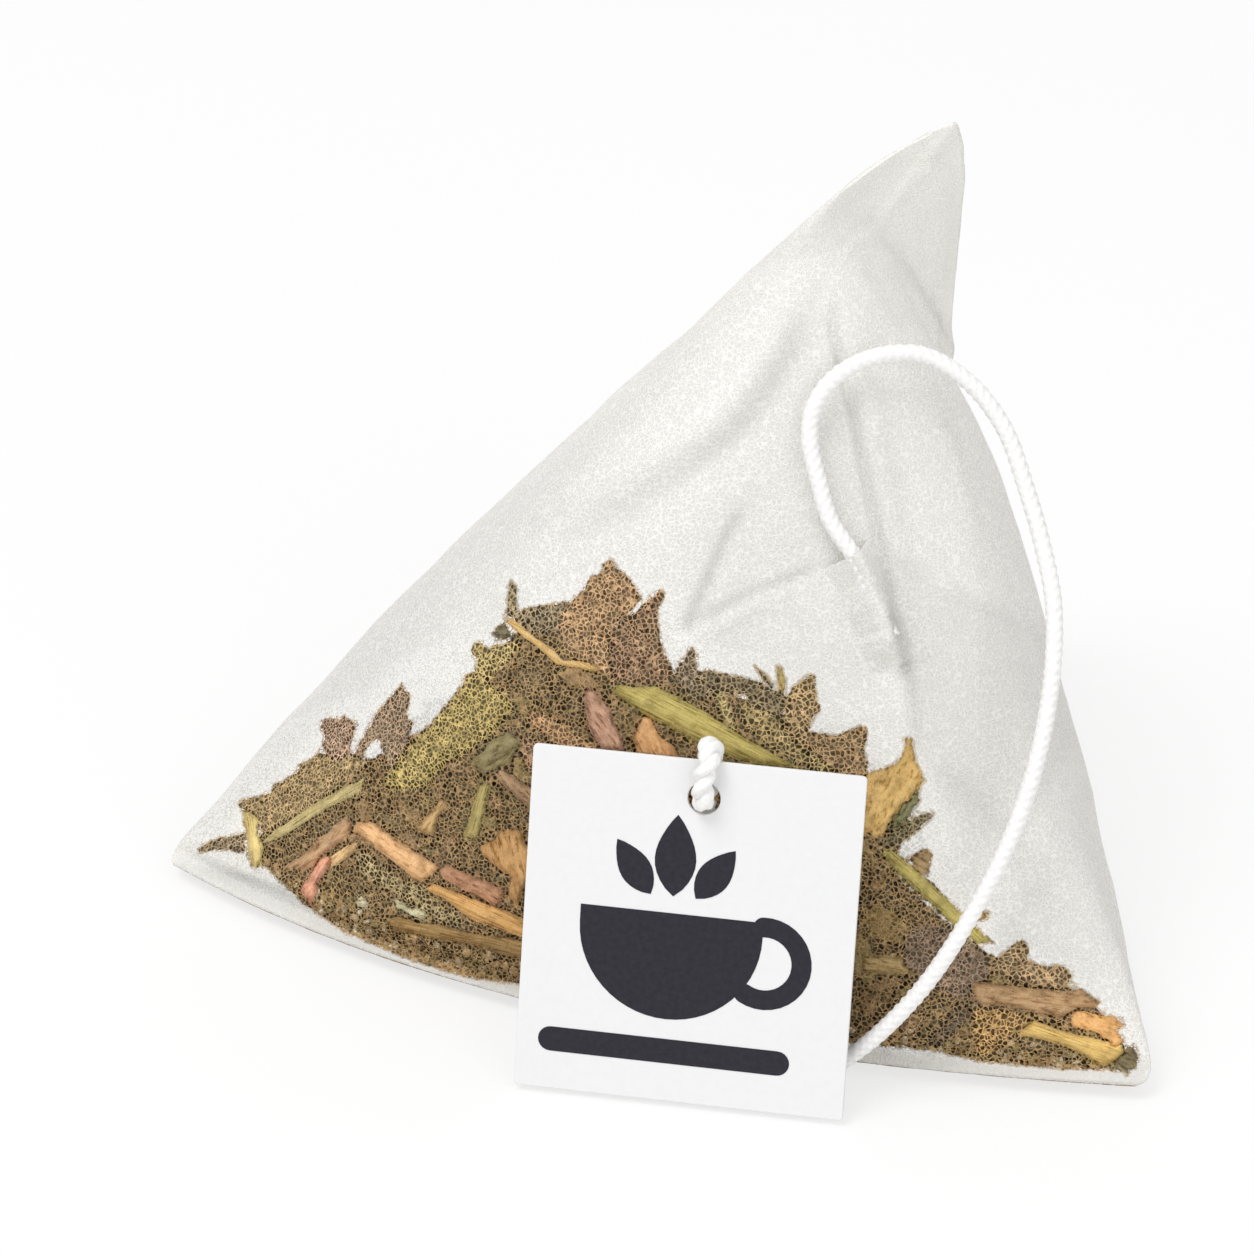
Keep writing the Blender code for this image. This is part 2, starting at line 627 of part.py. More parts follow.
def swallowed_faces(heart, tree, middles):
    """Faces of the heap that lie beyond the middle of a piece."""
    found = set()
    for middle in middles:
        _, _, face, distance = tree.ray_cast(heart, (middle - heart).normalized())
        if face is not None and distance > (middle - heart).length:
            found.add(face)
    return found


def make_heap(lining, laid, middles):
    """Ball pressed out against the cloth, whose surface gives way to the pieces around it."""
    bm = bmesh.new()
    bmesh.ops.create_icosphere(bm, subdivisions=4, radius=1.0)
    heart = Vector(HEAP_HEART)
    directions = [vert.co.normalized() for vert in bm.verts]
    reaches = []
    for direction in directions:
        reach = heap_reach(heart, direction, lining)
        lumps = noise.noise((heart + direction * reach) / LUMP_SIZE)
        reaches.append(reach - HEAP_LUMPS * (0.5 + 0.5 * lumps))
    faces = [tuple(vert.index for vert in face.verts) for face in bm.faces]
    clashing = True
    while clashing:
        points = [heart + d * r for d, r in zip(directions, reaches)]
        tree = BVHTree.FromPolygons([tuple(point) for point in points], faces)
        clashing = set()
        for other in laid:
            for face, _ in tree.overlap(other):
                clashing.update(faces[face])
        if not clashing:
            for face in swallowed_faces(heart, tree, middles):
                clashing.update(faces[face])
        for i in clashing:
            reaches[i] *= GIVE_WAY
    for vert, direction, reach in zip(bm.verts, directions, reaches):
        vert.co = heart + direction * (reach - GAP)
    return painted(object_from(bm, "herb_heap"), DARK, 0.95)


def tag_frame():
    """At the tag's lower left corner: X along its lower edge, Y up it, Z out of its front."""
    along = Vector((math.cos(TAG_YAW), math.sin(TAG_YAW), 0))
    back = Vector((-math.sin(TAG_YAW), math.cos(TAG_YAW), 0))
    rise = Vector((0, 0, math.cos(TAG_LEAN))) + back * math.sin(TAG_LEAN)
    out = along.cross(rise)
    axes = Matrix((along, rise, out)).transposed().to_4x4()
    lift = TAG_THICKNESS / 2 * math.sin(TAG_LEAN) + GAP
    return Matrix.Translation((TAG_FOOT[0], TAG_FOOT[1], lift)) @ axes


def hole_centre():
    return TAG_WIDTH / 2 + HOLE_SIDE, TAG_HEIGHT - HOLE_DROP


def add_outline(curve, points):
    spline = curve.splines.new("POLY")
    spline.points.add(len(points) - 1)
    for target, (x, y) in zip(spline.points, points):
        target.co = (x, y, 0, 1)
    spline.use_cyclic_u = True


def arc(x, y, radius, start, end, steps):
    angles = [math.radians(start + (end - start) * i / steps) for i in range(steps + 1)]
    return [(x + radius * math.cos(a), y + radius * math.sin(a)) for a in angles]


def make_tag():
    curve = bpy.data.curves.new("tag", "CURVE")
    curve.dimensions = "2D"
    curve.fill_mode = "BOTH"
    curve.extrude = TAG_THICKNESS / 2
    r, w, h = TAG_CORNER, TAG_WIDTH, TAG_HEIGHT
    corners = ((w - r, r, -90), (w - r, h - r, 0), (r, h - r, 90), (r, r, 180))
    add_outline(curve, [p for x, y, a in corners for p in arc(x, y, r, a, a + 90, ROUNDING_STEPS)])
    last = 360 - 360 / HOLE_FACETS
    add_outline(curve, arc(*hole_centre(), HOLE_RADIUS, 0, last, HOLE_FACETS - 1))
    tag = bpy.data.objects.new("tag", curve)
    PARTS.objects.link(tag)
    tag.matrix_world = tag_frame()
    return painted(tag, CARD, 0.6)


def natural_curve(route, count, cyclic=False):
    """Points at even distances on a smooth curve through the route (centripetal Catmull-Rom)."""
    route = [np.array(point, float) for point in route]
    if cyclic:
        route = [route[-1], *route, route[0], route[1]]
    else:
        route = [2 * route[0] - route[1], *route, 2 * route[-1] - route[-2]]
    fine = []
    for p0, p1, p2, p3 in zip(route, route[1:], route[2:], route[3:]):
        spans = [np.linalg.norm(step) ** 0.5 for step in (p1 - p0, p2 - p1, p3 - p2)]
        t0, t1, t2, t3 = np.cumsum([0, *spans])
        for t in np.linspace(t1, t2, CURVE_STEPS, endpoint=False):
            a1 = (t1 - t) / (t1 - t0) * p0 + (t - t0) / (t1 - t0) * p1
            a2 = (t2 - t) / (t2 - t1) * p1 + (t - t1) / (t2 - t1) * p2
            a3 = (t3 - t) / (t3 - t2) * p2 + (t - t2) / (t3 - t2) * p3
            b1 = (t2 - t) / (t2 - t0) * a1 + (t - t0) / (t2 - t0) * a2
            b2 = (t3 - t) / (t3 - t1) * a2 + (t - t1) / (t3 - t1) * a3
            fine.append((t2 - t) / (t2 - t1) * b1 + (t - t1) / (t2 - t1) * b2)
    fine.append(route[-2])
    fine = np.array(fine)
    run = np.concatenate([[0], np.cumsum(np.linalg.norm(np.diff(fine, axis=0), axis=1))])
    stops = np.linspace(0, run[-1], count + 1 if cyclic else count)[:count]
    return np.stack([np.interp(stops, run, fine[:, axis]) for axis in range(3)], 1)


def tube(name, points, radii, cyclic, colour):
    curve = bpy.data.curves.new(name, "CURVE")
    curve.dimensions = "3D"
    curve.bevel_depth = STRING_RADIUS
    curve.bevel_resolution = 2
    curve.use_fill_caps = not cyclic
    spline = curve.splines.new("POLY")
    spline.points.add(len(points) - 1)
    for target, point, radius in zip(spline.points, points, radii):
        target.co = (*point, 1)
        target.radius = radius
    spline.use_cyclic_u = cyclic
    obj = bpy.data.objects.new(name, curve)
    PARTS.objects.link(obj)
    return painted(obj, colour, 0.9)


def make_string():
    points = natural_curve(STRING_ROUTE, STRING_POINTS) * MM
    return tube("string", points, [1.0] * len(points), False, COTTON)


def make_knot():
    """Loop through the tag's hole and over its upper edge, thickened to a knot behind the tag."""
    x, y = hole_centre()
    clear = TAG_THICKNESS / 2 + GAP + STRING_RADIUS
    top = TAG_HEIGHT + GAP + STRING_RADIUS
    knot_spot = np.array([x, (y + top) / 2, -(TAG_THICKNESS / 2 + GAP + KNOT_RADIUS)])
    turn_in, turn_out = y + LOOP_ROUNDING, top - LOOP_ROUNDING
    route = (
        (x, y, 0.0),
        (x, turn_in, clear),
        (x, (y + top) / 2, clear),
        (x, turn_out, clear),
        (x, top, 0.0),
        (x, turn_out, -clear),
        knot_spot,
        (x, turn_in, -clear),
    )
    points = natural_curve(route, KNOT_POINTS, cyclic=True)
    radii = []
    for point in points:
        off = np.linalg.norm(point - knot_spot) / KNOT_SPREAD
        radii.append(1 + (KNOT_RADIUS / STRING_RADIUS - 1) * math.exp(-(off**2)))
    knot = tube("string_knot", points, radii, True, COTTON)
    knot.matrix_world = tag_frame()
    return knot


def centre_footprint(pieces):
    """Moves the whole part so that the middle of the bag's footprint box is the origin."""
    outer, _ = cloth_grids()
    low, high = outer.reshape(-1, 3).min(0), outer.reshape(-1, 3).max(0)
    middle = (low + high) / 2
    base = bpy.data.objects.new("tea_bag", None)
    PARTS.objects.link(base)
    for piece in pieces:
        piece.parent = base
    base.location = (-middle[0], -middle[1], 0)


for old in list(bpy.data.objects):
    bpy.data.objects.remove(old, do_unlink=True)
PARTS = bpy.data.collections.new("pyramid_tea_bag")
bpy.context.scene.collection.children.link(PARTS)

LINING = lining_tree()
BAG = make_bag()
HERB_PIECES, LAID = make_herbs(LINING)
HEAP = make_heap(LINING, LAID, [piece.matrix_world.translation for piece in HERB_PIECES])
centre_footprint([BAG, HEAP, *HERB_PIECES, make_tag(), make_string(), make_knot()])
bpy.context.view_layer.update()
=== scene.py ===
"""Looks of the pyramid tea bag: sheer nonwoven cloth over cut herbs, cotton string and card tag."""

import math
import random

import bmesh
import bpy
import numpy as np
from mathutils import Matrix, Vector, noise
from mathutils.bvhtree import BVHTree
from mathutils.geometry import delaunay_2d_cdt


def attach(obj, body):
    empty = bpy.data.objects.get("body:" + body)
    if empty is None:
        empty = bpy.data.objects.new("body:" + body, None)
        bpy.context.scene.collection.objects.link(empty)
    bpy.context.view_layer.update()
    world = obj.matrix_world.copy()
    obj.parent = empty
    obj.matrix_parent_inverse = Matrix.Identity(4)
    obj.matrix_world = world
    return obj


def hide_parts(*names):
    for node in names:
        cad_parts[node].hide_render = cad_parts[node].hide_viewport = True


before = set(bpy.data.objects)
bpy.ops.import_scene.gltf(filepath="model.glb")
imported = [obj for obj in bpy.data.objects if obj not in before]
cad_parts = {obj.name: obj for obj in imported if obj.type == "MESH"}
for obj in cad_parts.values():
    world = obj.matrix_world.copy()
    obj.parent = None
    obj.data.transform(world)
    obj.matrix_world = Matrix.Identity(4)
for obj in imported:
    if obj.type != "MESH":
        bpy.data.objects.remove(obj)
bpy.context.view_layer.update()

MM = 0.001
CENTRE = np.array((0.0306, 20.0310, 0.0))  # of the footprint, millimetres in the design frame
IMAGE = 1254


def row(points):
    """Millimetres in the design frame to metres in the row frame."""
    return (np.asarray(points, float) - CENTRE) * MM


# Camera

CAM_AZ, CAM_EL = math.radians(21.9), math.radians(31.0)
CAM_LENS, SENSOR = 150.0, 36.0
CAM_DISTANCE = 315.0
CAM_TARGET = np.array((-6.1, 12.75, 16.3))
CAM_BACK = np.array(
    (math.sin(CAM_AZ) * math.cos(CAM_EL), -math.cos(CAM_AZ) * math.cos(CAM_EL), math.sin(CAM_EL))
)
CAM_RIGHT = np.array((math.cos(CAM_AZ), math.sin(CAM_AZ), 0.0))
CAM_UP = np.cross(CAM_BACK, CAM_RIGHT)
CAM_PLACE = CAM_TARGET + CAM_BACK * CAM_DISTANCE
FOCAL = CAM_LENS / SENSOR * IMAGE


def pixels(points):
    """Where points (design frame, millimetres) fall in the picture."""
    off = np.asarray(points, float) - CAM_PLACE
    depth = -(off @ CAM_BACK)
    across = IMAGE / 2 + FOCAL * (off @ CAM_RIGHT) / depth
    down = IMAGE / 2 - FOCAL * (off @ CAM_UP) / depth
    return np.stack([across, down], -1)


def pixel_ray(x, y):
    ray = -CAM_BACK + CAM_RIGHT * (x - IMAGE / 2) / FOCAL + CAM_UP * (IMAGE / 2 - y) / FOCAL
    return ray / np.linalg.norm(ray)


def make_camera():
    data = bpy.data.cameras.new("camera")
    data.lens, data.sensor_width = CAM_LENS, SENSOR
    data.clip_start = 0.01
    camera = bpy.data.objects.new("camera", data)
    bpy.context.scene.collection.objects.link(camera)
    axes = Matrix(np.stack([CAM_RIGHT, CAM_UP, CAM_BACK], 1).tolist()).to_4x4()
    camera.matrix_world = Matrix.Translation(row(CAM_PLACE)) @ axes
    bpy.context.scene.camera = camera


# Helpers


def smooth(t):
    t = np.clip(t, 0.0, 1.0)
    return t * t * (3 - 2 * t)


def mesh_object(name, points, faces, smooth_shaded=True):
    mesh = bpy.data.meshes.new(name)
    mesh.from_pydata([tuple(p) for p in points], [], [tuple(f) for f in faces])
    mesh.update()
    if smooth_shaded:
        mesh.shade_smooth()
    obj = bpy.data.objects.new(name, mesh)
    bpy.context.scene.collection.objects.link(obj)
    return obj


def outward_faces(obj):
    bm = bmesh.new()
    bm.from_mesh(obj.data)
    bmesh.ops.recalc_face_normals(bm, faces=bm.faces)
    bm.to_mesh(obj.data)
    bm.free()


def keep(obj, material, slot, *nodes):
    """Finishes a piece: its material, the body it rides on and the nodes it stands for. Its slot is not used.
    """
    obj.data.materials.clear()
    obj.data.materials.append(material)
    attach(obj, "root")
    if nodes:
        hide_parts(*nodes)
    return obj


class Nodes:
    """Short way to build a material's node tree."""

    def __init__(self, name):
        self.material = bpy.data.materials.new(name)
        self.material.use_nodes = True
        self.tree = self.material.node_tree
        self.tree.nodes.clear()
        self.out = self.add("ShaderNodeOutputMaterial")

    def add(self, kind, settings=None, **inputs):
        node = self.tree.nodes.new(kind)
        for key, value in (settings or {}).items():
            setattr(node, key, value)
        for key, value in inputs.items():
            self.put(node, key.replace("_", " "), value)
        return node

    def put(self, node, key, value):
        socket = node.inputs[int(key)] if key.isdigit() else node.inputs[key]
        if isinstance(value, bpy.types.NodeSocket):
            self.tree.links.new(value, socket)
        elif isinstance(value, bpy.types.Node):
            self.tree.links.new(value.outputs[0], socket)
        else:
            socket.default_value = value

    def math(self, operation, a, b=0.0, clamp=False):
        node = self.add("ShaderNodeMath", {"operation": operation, "use_clamp": clamp})
        self.put(node, "0", a)
        self.put(node, "1", b)
        return node.outputs[0]

    def ramp(self, value, *stops, ease="LINEAR"):
        node = self.add("ShaderNodeValToRGB")
        node.color_ramp.interpolation = ease
        elements = node.color_ramp.elements
        while len(elements) < len(stops):
            elements.new(0.5)
        for element, (place, colour) in zip(elements, stops):
            element.position = place
            grey = isinstance(colour, (int, float))
            element.color = (colour, colour, colour, 1) if grey else (*colour, 1)
        self.put(node, "0", value)
        return node.outputs[0]

    def mix(self, share, a, b, blend="MIX"):
        node = self.add("ShaderNodeMix", {"data_type": "RGBA", "blend_type": blend})
        self.put(node, "0", share)
        for index, value in ((6, a), (7, b)):
            if isinstance(value, (tuple, list)):
                node.inputs[index].default_value = (*value[:3], 1)
            else:
                self.tree.links.new(value, node.inputs[index])
        return node.outputs[2]

    def object_space(self, scale=(1, 1, 1), turn=(0, 0, 0)):
        place = self.add("ShaderNodeTexCoord")
        mapping = self.add("ShaderNodeMapping", Scale=scale, Rotation=turn)
        self.tree.links.new(place.outputs["Object"], mapping.inputs["Vector"])
        return mapping.outputs[0]

    def surface(self, shader):
        self.tree.links.new(shader.outputs[0], self.out.inputs["Surface"])
        return self.material


# The cloth's shape

BASE_WIDTH, BASE_DEPTH, REAR_SHIFT = 63.0, 45.8, 10.1
TIP_HEIGHT, TIP_DEPTH, TIP_SHIFT, CORNER_LIFT = 50.7, 18.3, 11.7, 1.0
CLOTH = 0.2
SEAL_BAND, SEAL_OPENING, SEAL_CORNER, CORNER_SHARE = 0.014, 0.022, 0.8, 0.032
FOLD_SHARPNESS = 6.0
FRONT_BULGE, LEFT_BULGE, RIGHT_BULGE, BASE_SAG = 5.5, 5.0, 0.2, 2.5
FRONT_SEAL_BOW = (-2.0, -5.5, 0.0)
REAR_SEAL_BOWS = ((-1.0, 4.0, 4.5), (-10.5, 3.0, 4.0))
LEFT_EDGE_BOWS = ((-3.9, -1.3, -4.1), (-9.3, -5.4, -2.1))
RIGHT_EDGE_BOWS = ((1.9, 2.1, 2.6), (-16.1, -5.6, -3.4), (14.8, 13.8, 11.2), (-22.7, -4.4, 1.7))
BASE_RIGHT_BOWS = ((1.6, 1.0, -1.0), (1.2, 3.2, -0.5))
BASE_LEFT_BOWS = ((-1.4, 0.5, -1.0), (-1.2, 2.3, -0.5))
LEFT_CORNER = np.array((-BASE_WIDTH / 2, 0.0, CORNER_LIFT))
RIGHT_CORNER = np.array((BASE_WIDTH / 2, 0.0, CORNER_LIFT))
REAR_CORNER = np.array((REAR_SHIFT, BASE_DEPTH, CORNER_LIFT))
TIP = np.array((TIP_SHIFT, TIP_DEPTH, TIP_HEIGHT))


def folded_edge(start, end, bows, v):
    last = len(bows) + 1
    steps = [np.zeros(3), *(np.array(bow) for bow in bows), np.zeros(3)]
    point = 0
    for i, bow in enumerate(steps):
        control = start + (end - start) * i / last + bow
        point = point + (math.comb(last, i) * v**i * (1 - v) ** (last - i))[..., None] * control
    return point


def outward(a, b, c, inside):
    normal = np.cross(b - a, c - a)
    normal /= np.linalg.norm(normal)
    return normal if normal @ (a - inside) > 0 else -normal


def corner_cut(v):
    rise = np.clip(1 - v / CORNER_SHARE, 0, 1)
    return 1 - np.sqrt(1 - rise**2)


def cloth_at(turn, v):
    """Cloth of the source, millimetres. turn: 0 right, 90 front, 180 left, 270 base; v: seal to seal."""
    turn, v = np.broadcast_arrays(np.radians(np.asarray(turn, float)), np.asarray(v, float))
    edges = (
        folded_edge(LEFT_CORNER, TIP, LEFT_EDGE_BOWS, v),
        folded_edge(RIGHT_CORNER, TIP, RIGHT_EDGE_BOWS, v),
        folded_edge(RIGHT_CORNER, REAR_CORNER, BASE_RIGHT_BOWS, v),
        folded_edge(LEFT_CORNER, REAR_CORNER, BASE_LEFT_BOWS, v),
    )
    c, s = np.cos(turn), np.sin(turn)
    radius = (np.abs(c) ** FOLD_SHARPNESS + np.abs(s) ** FOLD_SHARPNESS) ** (-1 / FOLD_SHARPNESS)
    base_open = smooth((v - SEAL_BAND) / SEAL_OPENING)
    rear_open = smooth((1 - v - SEAL_BAND) / SEAL_OPENING)
    width = np.linalg.norm(RIGHT_CORNER - LEFT_CORNER) / 2
    length = np.linalg.norm(TIP - REAR_CORNER) / 2
    x = (c * radius * rear_open * (1 - corner_cut(v) * SEAL_CORNER / width))[..., None]
    y = (s * radius * base_open * (1 - corner_cut(1 - v) * SEAL_CORNER / length))[..., None]
    w = v[..., None]
    point = (
        (1 - x) * (1 + y) * edges[0]
        + (1 + x) * (1 + y) * edges[1]
        + (1 + x) * (1 - y) * edges[2]
        + (1 - x) * (1 - y) * edges[3]
    ) / 4
    point = point + np.array(FRONT_SEAL_BOW) * (1 - x**2) * (1 - w) ** 2
    t = (1 - y) / 2
    near, far = (np.array(bow) for bow in REAR_SEAL_BOWS)
    point = point + (near * 3 * t * (1 - t) ** 2 + far * 3 * t**2 * (1 - t)) * w**2.5
    middle = (LEFT_CORNER + RIGHT_CORNER + REAR_CORNER + TIP) / 4
    full = 4 * w * (1 - w)
    front_face = outward(LEFT_CORNER, RIGHT_CORNER, TIP, middle)
    left_face = outward(LEFT_CORNER, TIP, REAR_CORNER, middle)
    right_face = outward(RIGHT_CORNER, TIP, REAR_CORNER, middle)
    point = point + front_face * FRONT_BULGE * (1 - x**2) * (1 + y) / 2 * full
    point = point + left_face * LEFT_BULGE * (1 - y**2) * (1 - x) / 2 * full
    point = point + right_face * RIGHT_BULGE * (1 - y**2) * (1 + x) / 2 * full
    point[..., 2] -= (BASE_SAG * (1 - x**2) * (1 - y) / 2 * full)[..., 0]
    point[..., 2] = np.maximum(point[..., 2], CLOTH)
    return point


def cloth_normal(turn, v):
    turn, v = np.broadcast_arrays(np.asarray(turn, float), np.asarray(v, float))
    low, high = np.clip(v - 0.004, 0, 1), np.clip(v + 0.004, 0, 1)
    along = cloth_at(turn, high) - cloth_at(turn, low)
    round_it = cloth_at(turn + 1.5, v) - cloth_at(turn - 1.5, v)
    normal = np.cross(along, round_it)
    size = np.linalg.norm(normal, axis=-1, keepdims=True)
    away = cloth_at(turn, v) - cloth_at(turn + 180, v)
    away = away / np.maximum(np.linalg.norm(away, axis=-1, keepdims=True), 1e-9)
    return np.where(size > 1e-6, normal / np.maximum(size, 1e-9), away)


# Creases and folds that show, drawn where they fall in the picture: the line, half width in pixels,
# height in millimetres (a valley is negative), and whether each end fades out.
CREASES = (
    ([(953, 128), (917, 166), (894, 194), (855, 237), (838, 268)], 4.5, 0.22, (0, 1)),
    ([(940, 150), (903, 190), (872, 232)], 13, -0.30, (1, 1)),
    ([(845, 262), (803, 342), (743, 443), (628, 509), (529, 558)], 24, -0.55, (1, 1)),
    ([(822, 262), (775, 342), (715, 425), (600, 487), (500, 536)], 20, 0.30, (1, 1)),
    ([(836, 285), (834, 329), (838, 349), (851, 402), (880, 545), (893, 632)], 6, -0.55, (1, 0)),
    ([(893, 632), (912, 690), (914, 717), (924, 781)], 6, -0.40, (0, 1)),
    ([(852, 300), (856, 349), (870, 402), (897, 545), (912, 632)], 15, 0.30, (1, 1)),
    ([(868, 236), (899, 265), (917, 301), (942, 333), (964, 372)], 7, 0.45, (1, 1)),
    ([(856, 246), (884, 280), (902, 312), (926, 345)], 14, -0.40, (1, 1)),
    ([(678, 648), (690, 625), (712, 580), (747, 504)], 8, -0.38, (1, 1)),
    ([(684, 634), (740, 603), (790, 580), (840, 560)], 5, -0.30, (1, 1)),
    ([(700, 640), (760, 600), (800, 585)], 12, 0.22, (1, 1)),
    ([(925, 760), (980, 815), (1021, 855), (1062, 909)], 22, -0.40, (1, 1)),
    ([(887, 535), (960, 580), (1045, 631)], 9, 0.25, (1, 1)),
    ([(1010, 560), (1040, 680), (1062, 800), (1080, 900)], 16, -0.25, (1, 1)),
    ([(330, 720), (420, 630), (500, 560), (600, 470)], 12, -0.22, (1, 1)),
    ([(300, 770), (390, 690), (480, 610)], 9, 0.15, (1, 1)),
    ([(170, 862), (230, 850), (300, 838)], 7, 0.14, (1, 1)),
    ([(180, 866), (250, 880), (330, 905)], 6, -0.12, (1, 1)),
)


def line_offsets(places, line):
    """Signed distance from each place to a bent line, and the share of the way along it."""
    line = np.array(line, float)
    legs = np.diff(line, axis=0)
    runs = np.concatenate([[0], np.cumsum(np.linalg.norm(legs, axis=1))])
    best = np.full(len(places), 1e9)
    share = np.zeros(len(places))
    for start, leg, run in zip(line, legs, runs):
        size = np.linalg.norm(leg)
        t = np.clip((places - start) @ leg / size**2, 0, 1)
        off = places - (start + t[:, None] * leg)
        far = np.linalg.norm(off, axis=1)
        side = np.sign(leg[0] * off[:, 1] - leg[1] * off[:, 0])
        nearer = far < np.abs(best)
        best = np.where(nearer, far * np.where(side == 0, 1, side), best)
        share = np.where(nearer, (run + t * size) / runs[-1], share)
    return best, share


def crease_relief(places):
    relief = np.zeros(len(places))
    for line, half, height, fades in CREASES:
        off, share = line_offsets(places, line)
        strength = np.exp(-((off / half) ** 2) * 1.3)
        if fades[0]:
            strength *= smooth(share / 0.25)
        if fades[1]:
            strength *= smooth((1 - share) / 0.25)
        relief += height * strength
    return relief


FINE_FRONT, FINE_SIDE, FINE_ROWS = 162, 48, 205  # columns on front and base, on left and right, and rows
FINE_AROUND = 2 * (FINE_FRONT + FINE_SIDE)
EMPTY_COVER = (0.66, 0.32)  # share of the light that the cloth stops in a cell, and added on its fibres
LOADED_COVER = (0.02, 0.94)
CLOTH_WHITE = (0.985, 0.975, 0.945)
CRUMB_BOUNCE_TINT = (184, 152, 106)  # painted bounce light: the herb tint given to the fibres over crumbs
PALE_FIBRES, PALE_SHARE = (206, 190, 164), 0.3  # over a piece: the fibres' own pale tint, and its share in the painted herb colour
BOUNCE_LIFT = 2.15  # and how much brighter than the piece the rest of that painted colour is


def fine_turns():
    """Directions round the bag, closer together where the front and the base lie."""
    side = np.linspace(-45, 45, FINE_SIDE, endpoint=False)
    front = np.linspace(45, 135, FINE_FRONT, endpoint=False)
    half = np.concatenate([side, front])
    turns = np.concatenate([half, half + 180])
    return np.roll(turns, -(FINE_SIDE // 2))


def fine_shares():
    ends = np.array([0.0, 0.0045, 0.009, 0.014, 0.017, 0.020, 0.024, 0.029])
    return np.concatenate([ends, np.linspace(0.034, 0.966, FINE_ROWS - 16), 1 - ends[::-1]])


def seal_directions(turns, v, seal_turn):
    face = cloth_normal(seal_turn, v)
    lengthwise = cloth_at(seal_turn - 90, v) - cloth_at(seal_turn + 90, v)
    lengthwise /= np.linalg.norm(lengthwise)
    around = turns - seal_turn
    off_end = (around + 45) % 180 - 45
    directions = []
    for turn, off in zip(around, off_end):
        near = math.cos(math.radians(turn)) > 0
        if off <= 45:
            directions.append(face if near else -face)
            continue
        sign = -1.0 if math.sin(math.radians(turn)) > 0 else 1.0
        angle = math.radians(2 * (off - 90)) * sign
        directions.append(lengthwise * sign * math.cos(angle) + face * math.sin(angle))
    return np.array(directions)


def fine_cloth():
    """Points of the visible cloth (millimetres), rows by turns, with its creases and small waves."""
    turns = fine_turns() % 360
    shares = fine_shares()
    v, turn = np.meshgrid(shares, turns, indexing="ij")
    inner = cloth_at(turn, v)
    normals = cloth_normal(turn, v)
    for i, share in enumerate(shares):
        if share <= SEAL_BAND:
            normals[i] = seal_directions(turns, share, 90.0)
        if share >= 1 - SEAL_BAND:
            normals[i] = seal_directions(turns, share, 0.0)
    flat = inner.reshape(-1, 3)
    facing = (normals.reshape(-1, 3) @ CAM_BACK)
    relief = crease_relief(pixels(flat)) * smooth((facing - 0.05) / 0.25)
    waves = np.array([
        0.18 * noise.noise(Vector(p) / 7.0) + 0.10 * noise.noise(Vector(p) / 3.1)
        + 0.03 * noise.noise(Vector(p) / 1.3) for p in flat
    ])
    at_seal = np.minimum(v, 1 - v).reshape(-1)
    seal_waves = np.array([0.22 * noise.noise(Vector((p[0], p[1], 40)) / 2.2) for p in flat])
    free = smooth((flat[:, 2] - 0.6) / 3.0)
    lift = relief + waves * free * smooth(at_seal / 0.08) + seal_waves * smooth(1 - at_seal / 0.03) * 0.5
    on_floor = flat[:, 2] <= CLOTH * 1.001
    points = flat + normals.reshape(-1, 3) * (0.1 + lift)[:, None]
    points[:, 2] = np.where(on_floor, 0.05, np.maximum(points[:, 2], 0.05))
    return points.reshape(inner.shape), normals, shares, turns


def slot_faces(ring, end):
    count = len(ring)
    faces = []
    for k in range(count // 2):
        corners = [ring[(end + k) % count], ring[(end + k + 1) % count]]
        corners += [ring[(end - k - 1) % count], ring[(end - k) % count]]
        faces.append(list(dict.fromkeys(corners)))
    return faces


# Painted shade: where two layers lie on each other or the far side comes close, the cloth is drawn darker: an
# outline in the picture, the softness of its edge in pixels, and how much darker.
PAINTED_SHADE_ZONES = (
    ([(838, 300), (852, 402), (881, 545), (893, 632), (912, 690), (915, 740), (1000, 930), (1120, 1000),
      (1075, 700), (1030, 560), (985, 420), (950, 330), (900, 300)], 8, 0.02),
    ([(890, 545), (944, 588), (1048, 634), (1075, 740), (1020, 850), (925, 760), (914, 700), (893, 632)],
     8, 0.08),
    ([(925, 765), (1021, 860), (1066, 912), (1110, 1010), (1000, 930)], 14, 0.03),
    ([(957, 118), (849, 251), (883, 248), (906, 280), (942, 333), (961, 228), (962, 191)], 5, 0.03),
    ([(957, 118), (849, 251), (760, 262), (842, 190), (901, 150)], 7, 0.05),
    ([(163, 862), (266, 910), (352, 950), (487, 990), (560, 1000), (560, 980), (470, 960), (330, 910),
      (240, 868)], 8, 0.16),
    ([(880, 1085), (1155, 1100), (1146, 1062), (1000, 1062), (880, 1046)], 8, 0.16),
    ([(150, 862), (230, 790), (400, 600), (600, 420), (760, 262), (900, 140), (905, 160), (775, 280),
      (620, 440), (420, 620), (250, 805), (190, 860)], 8, 0.06),
    ([(690, 560), (740, 400), (826, 310), (878, 545), (890, 640), (860, 700), (770, 660), (700, 640)],
     22, 0.05),
)
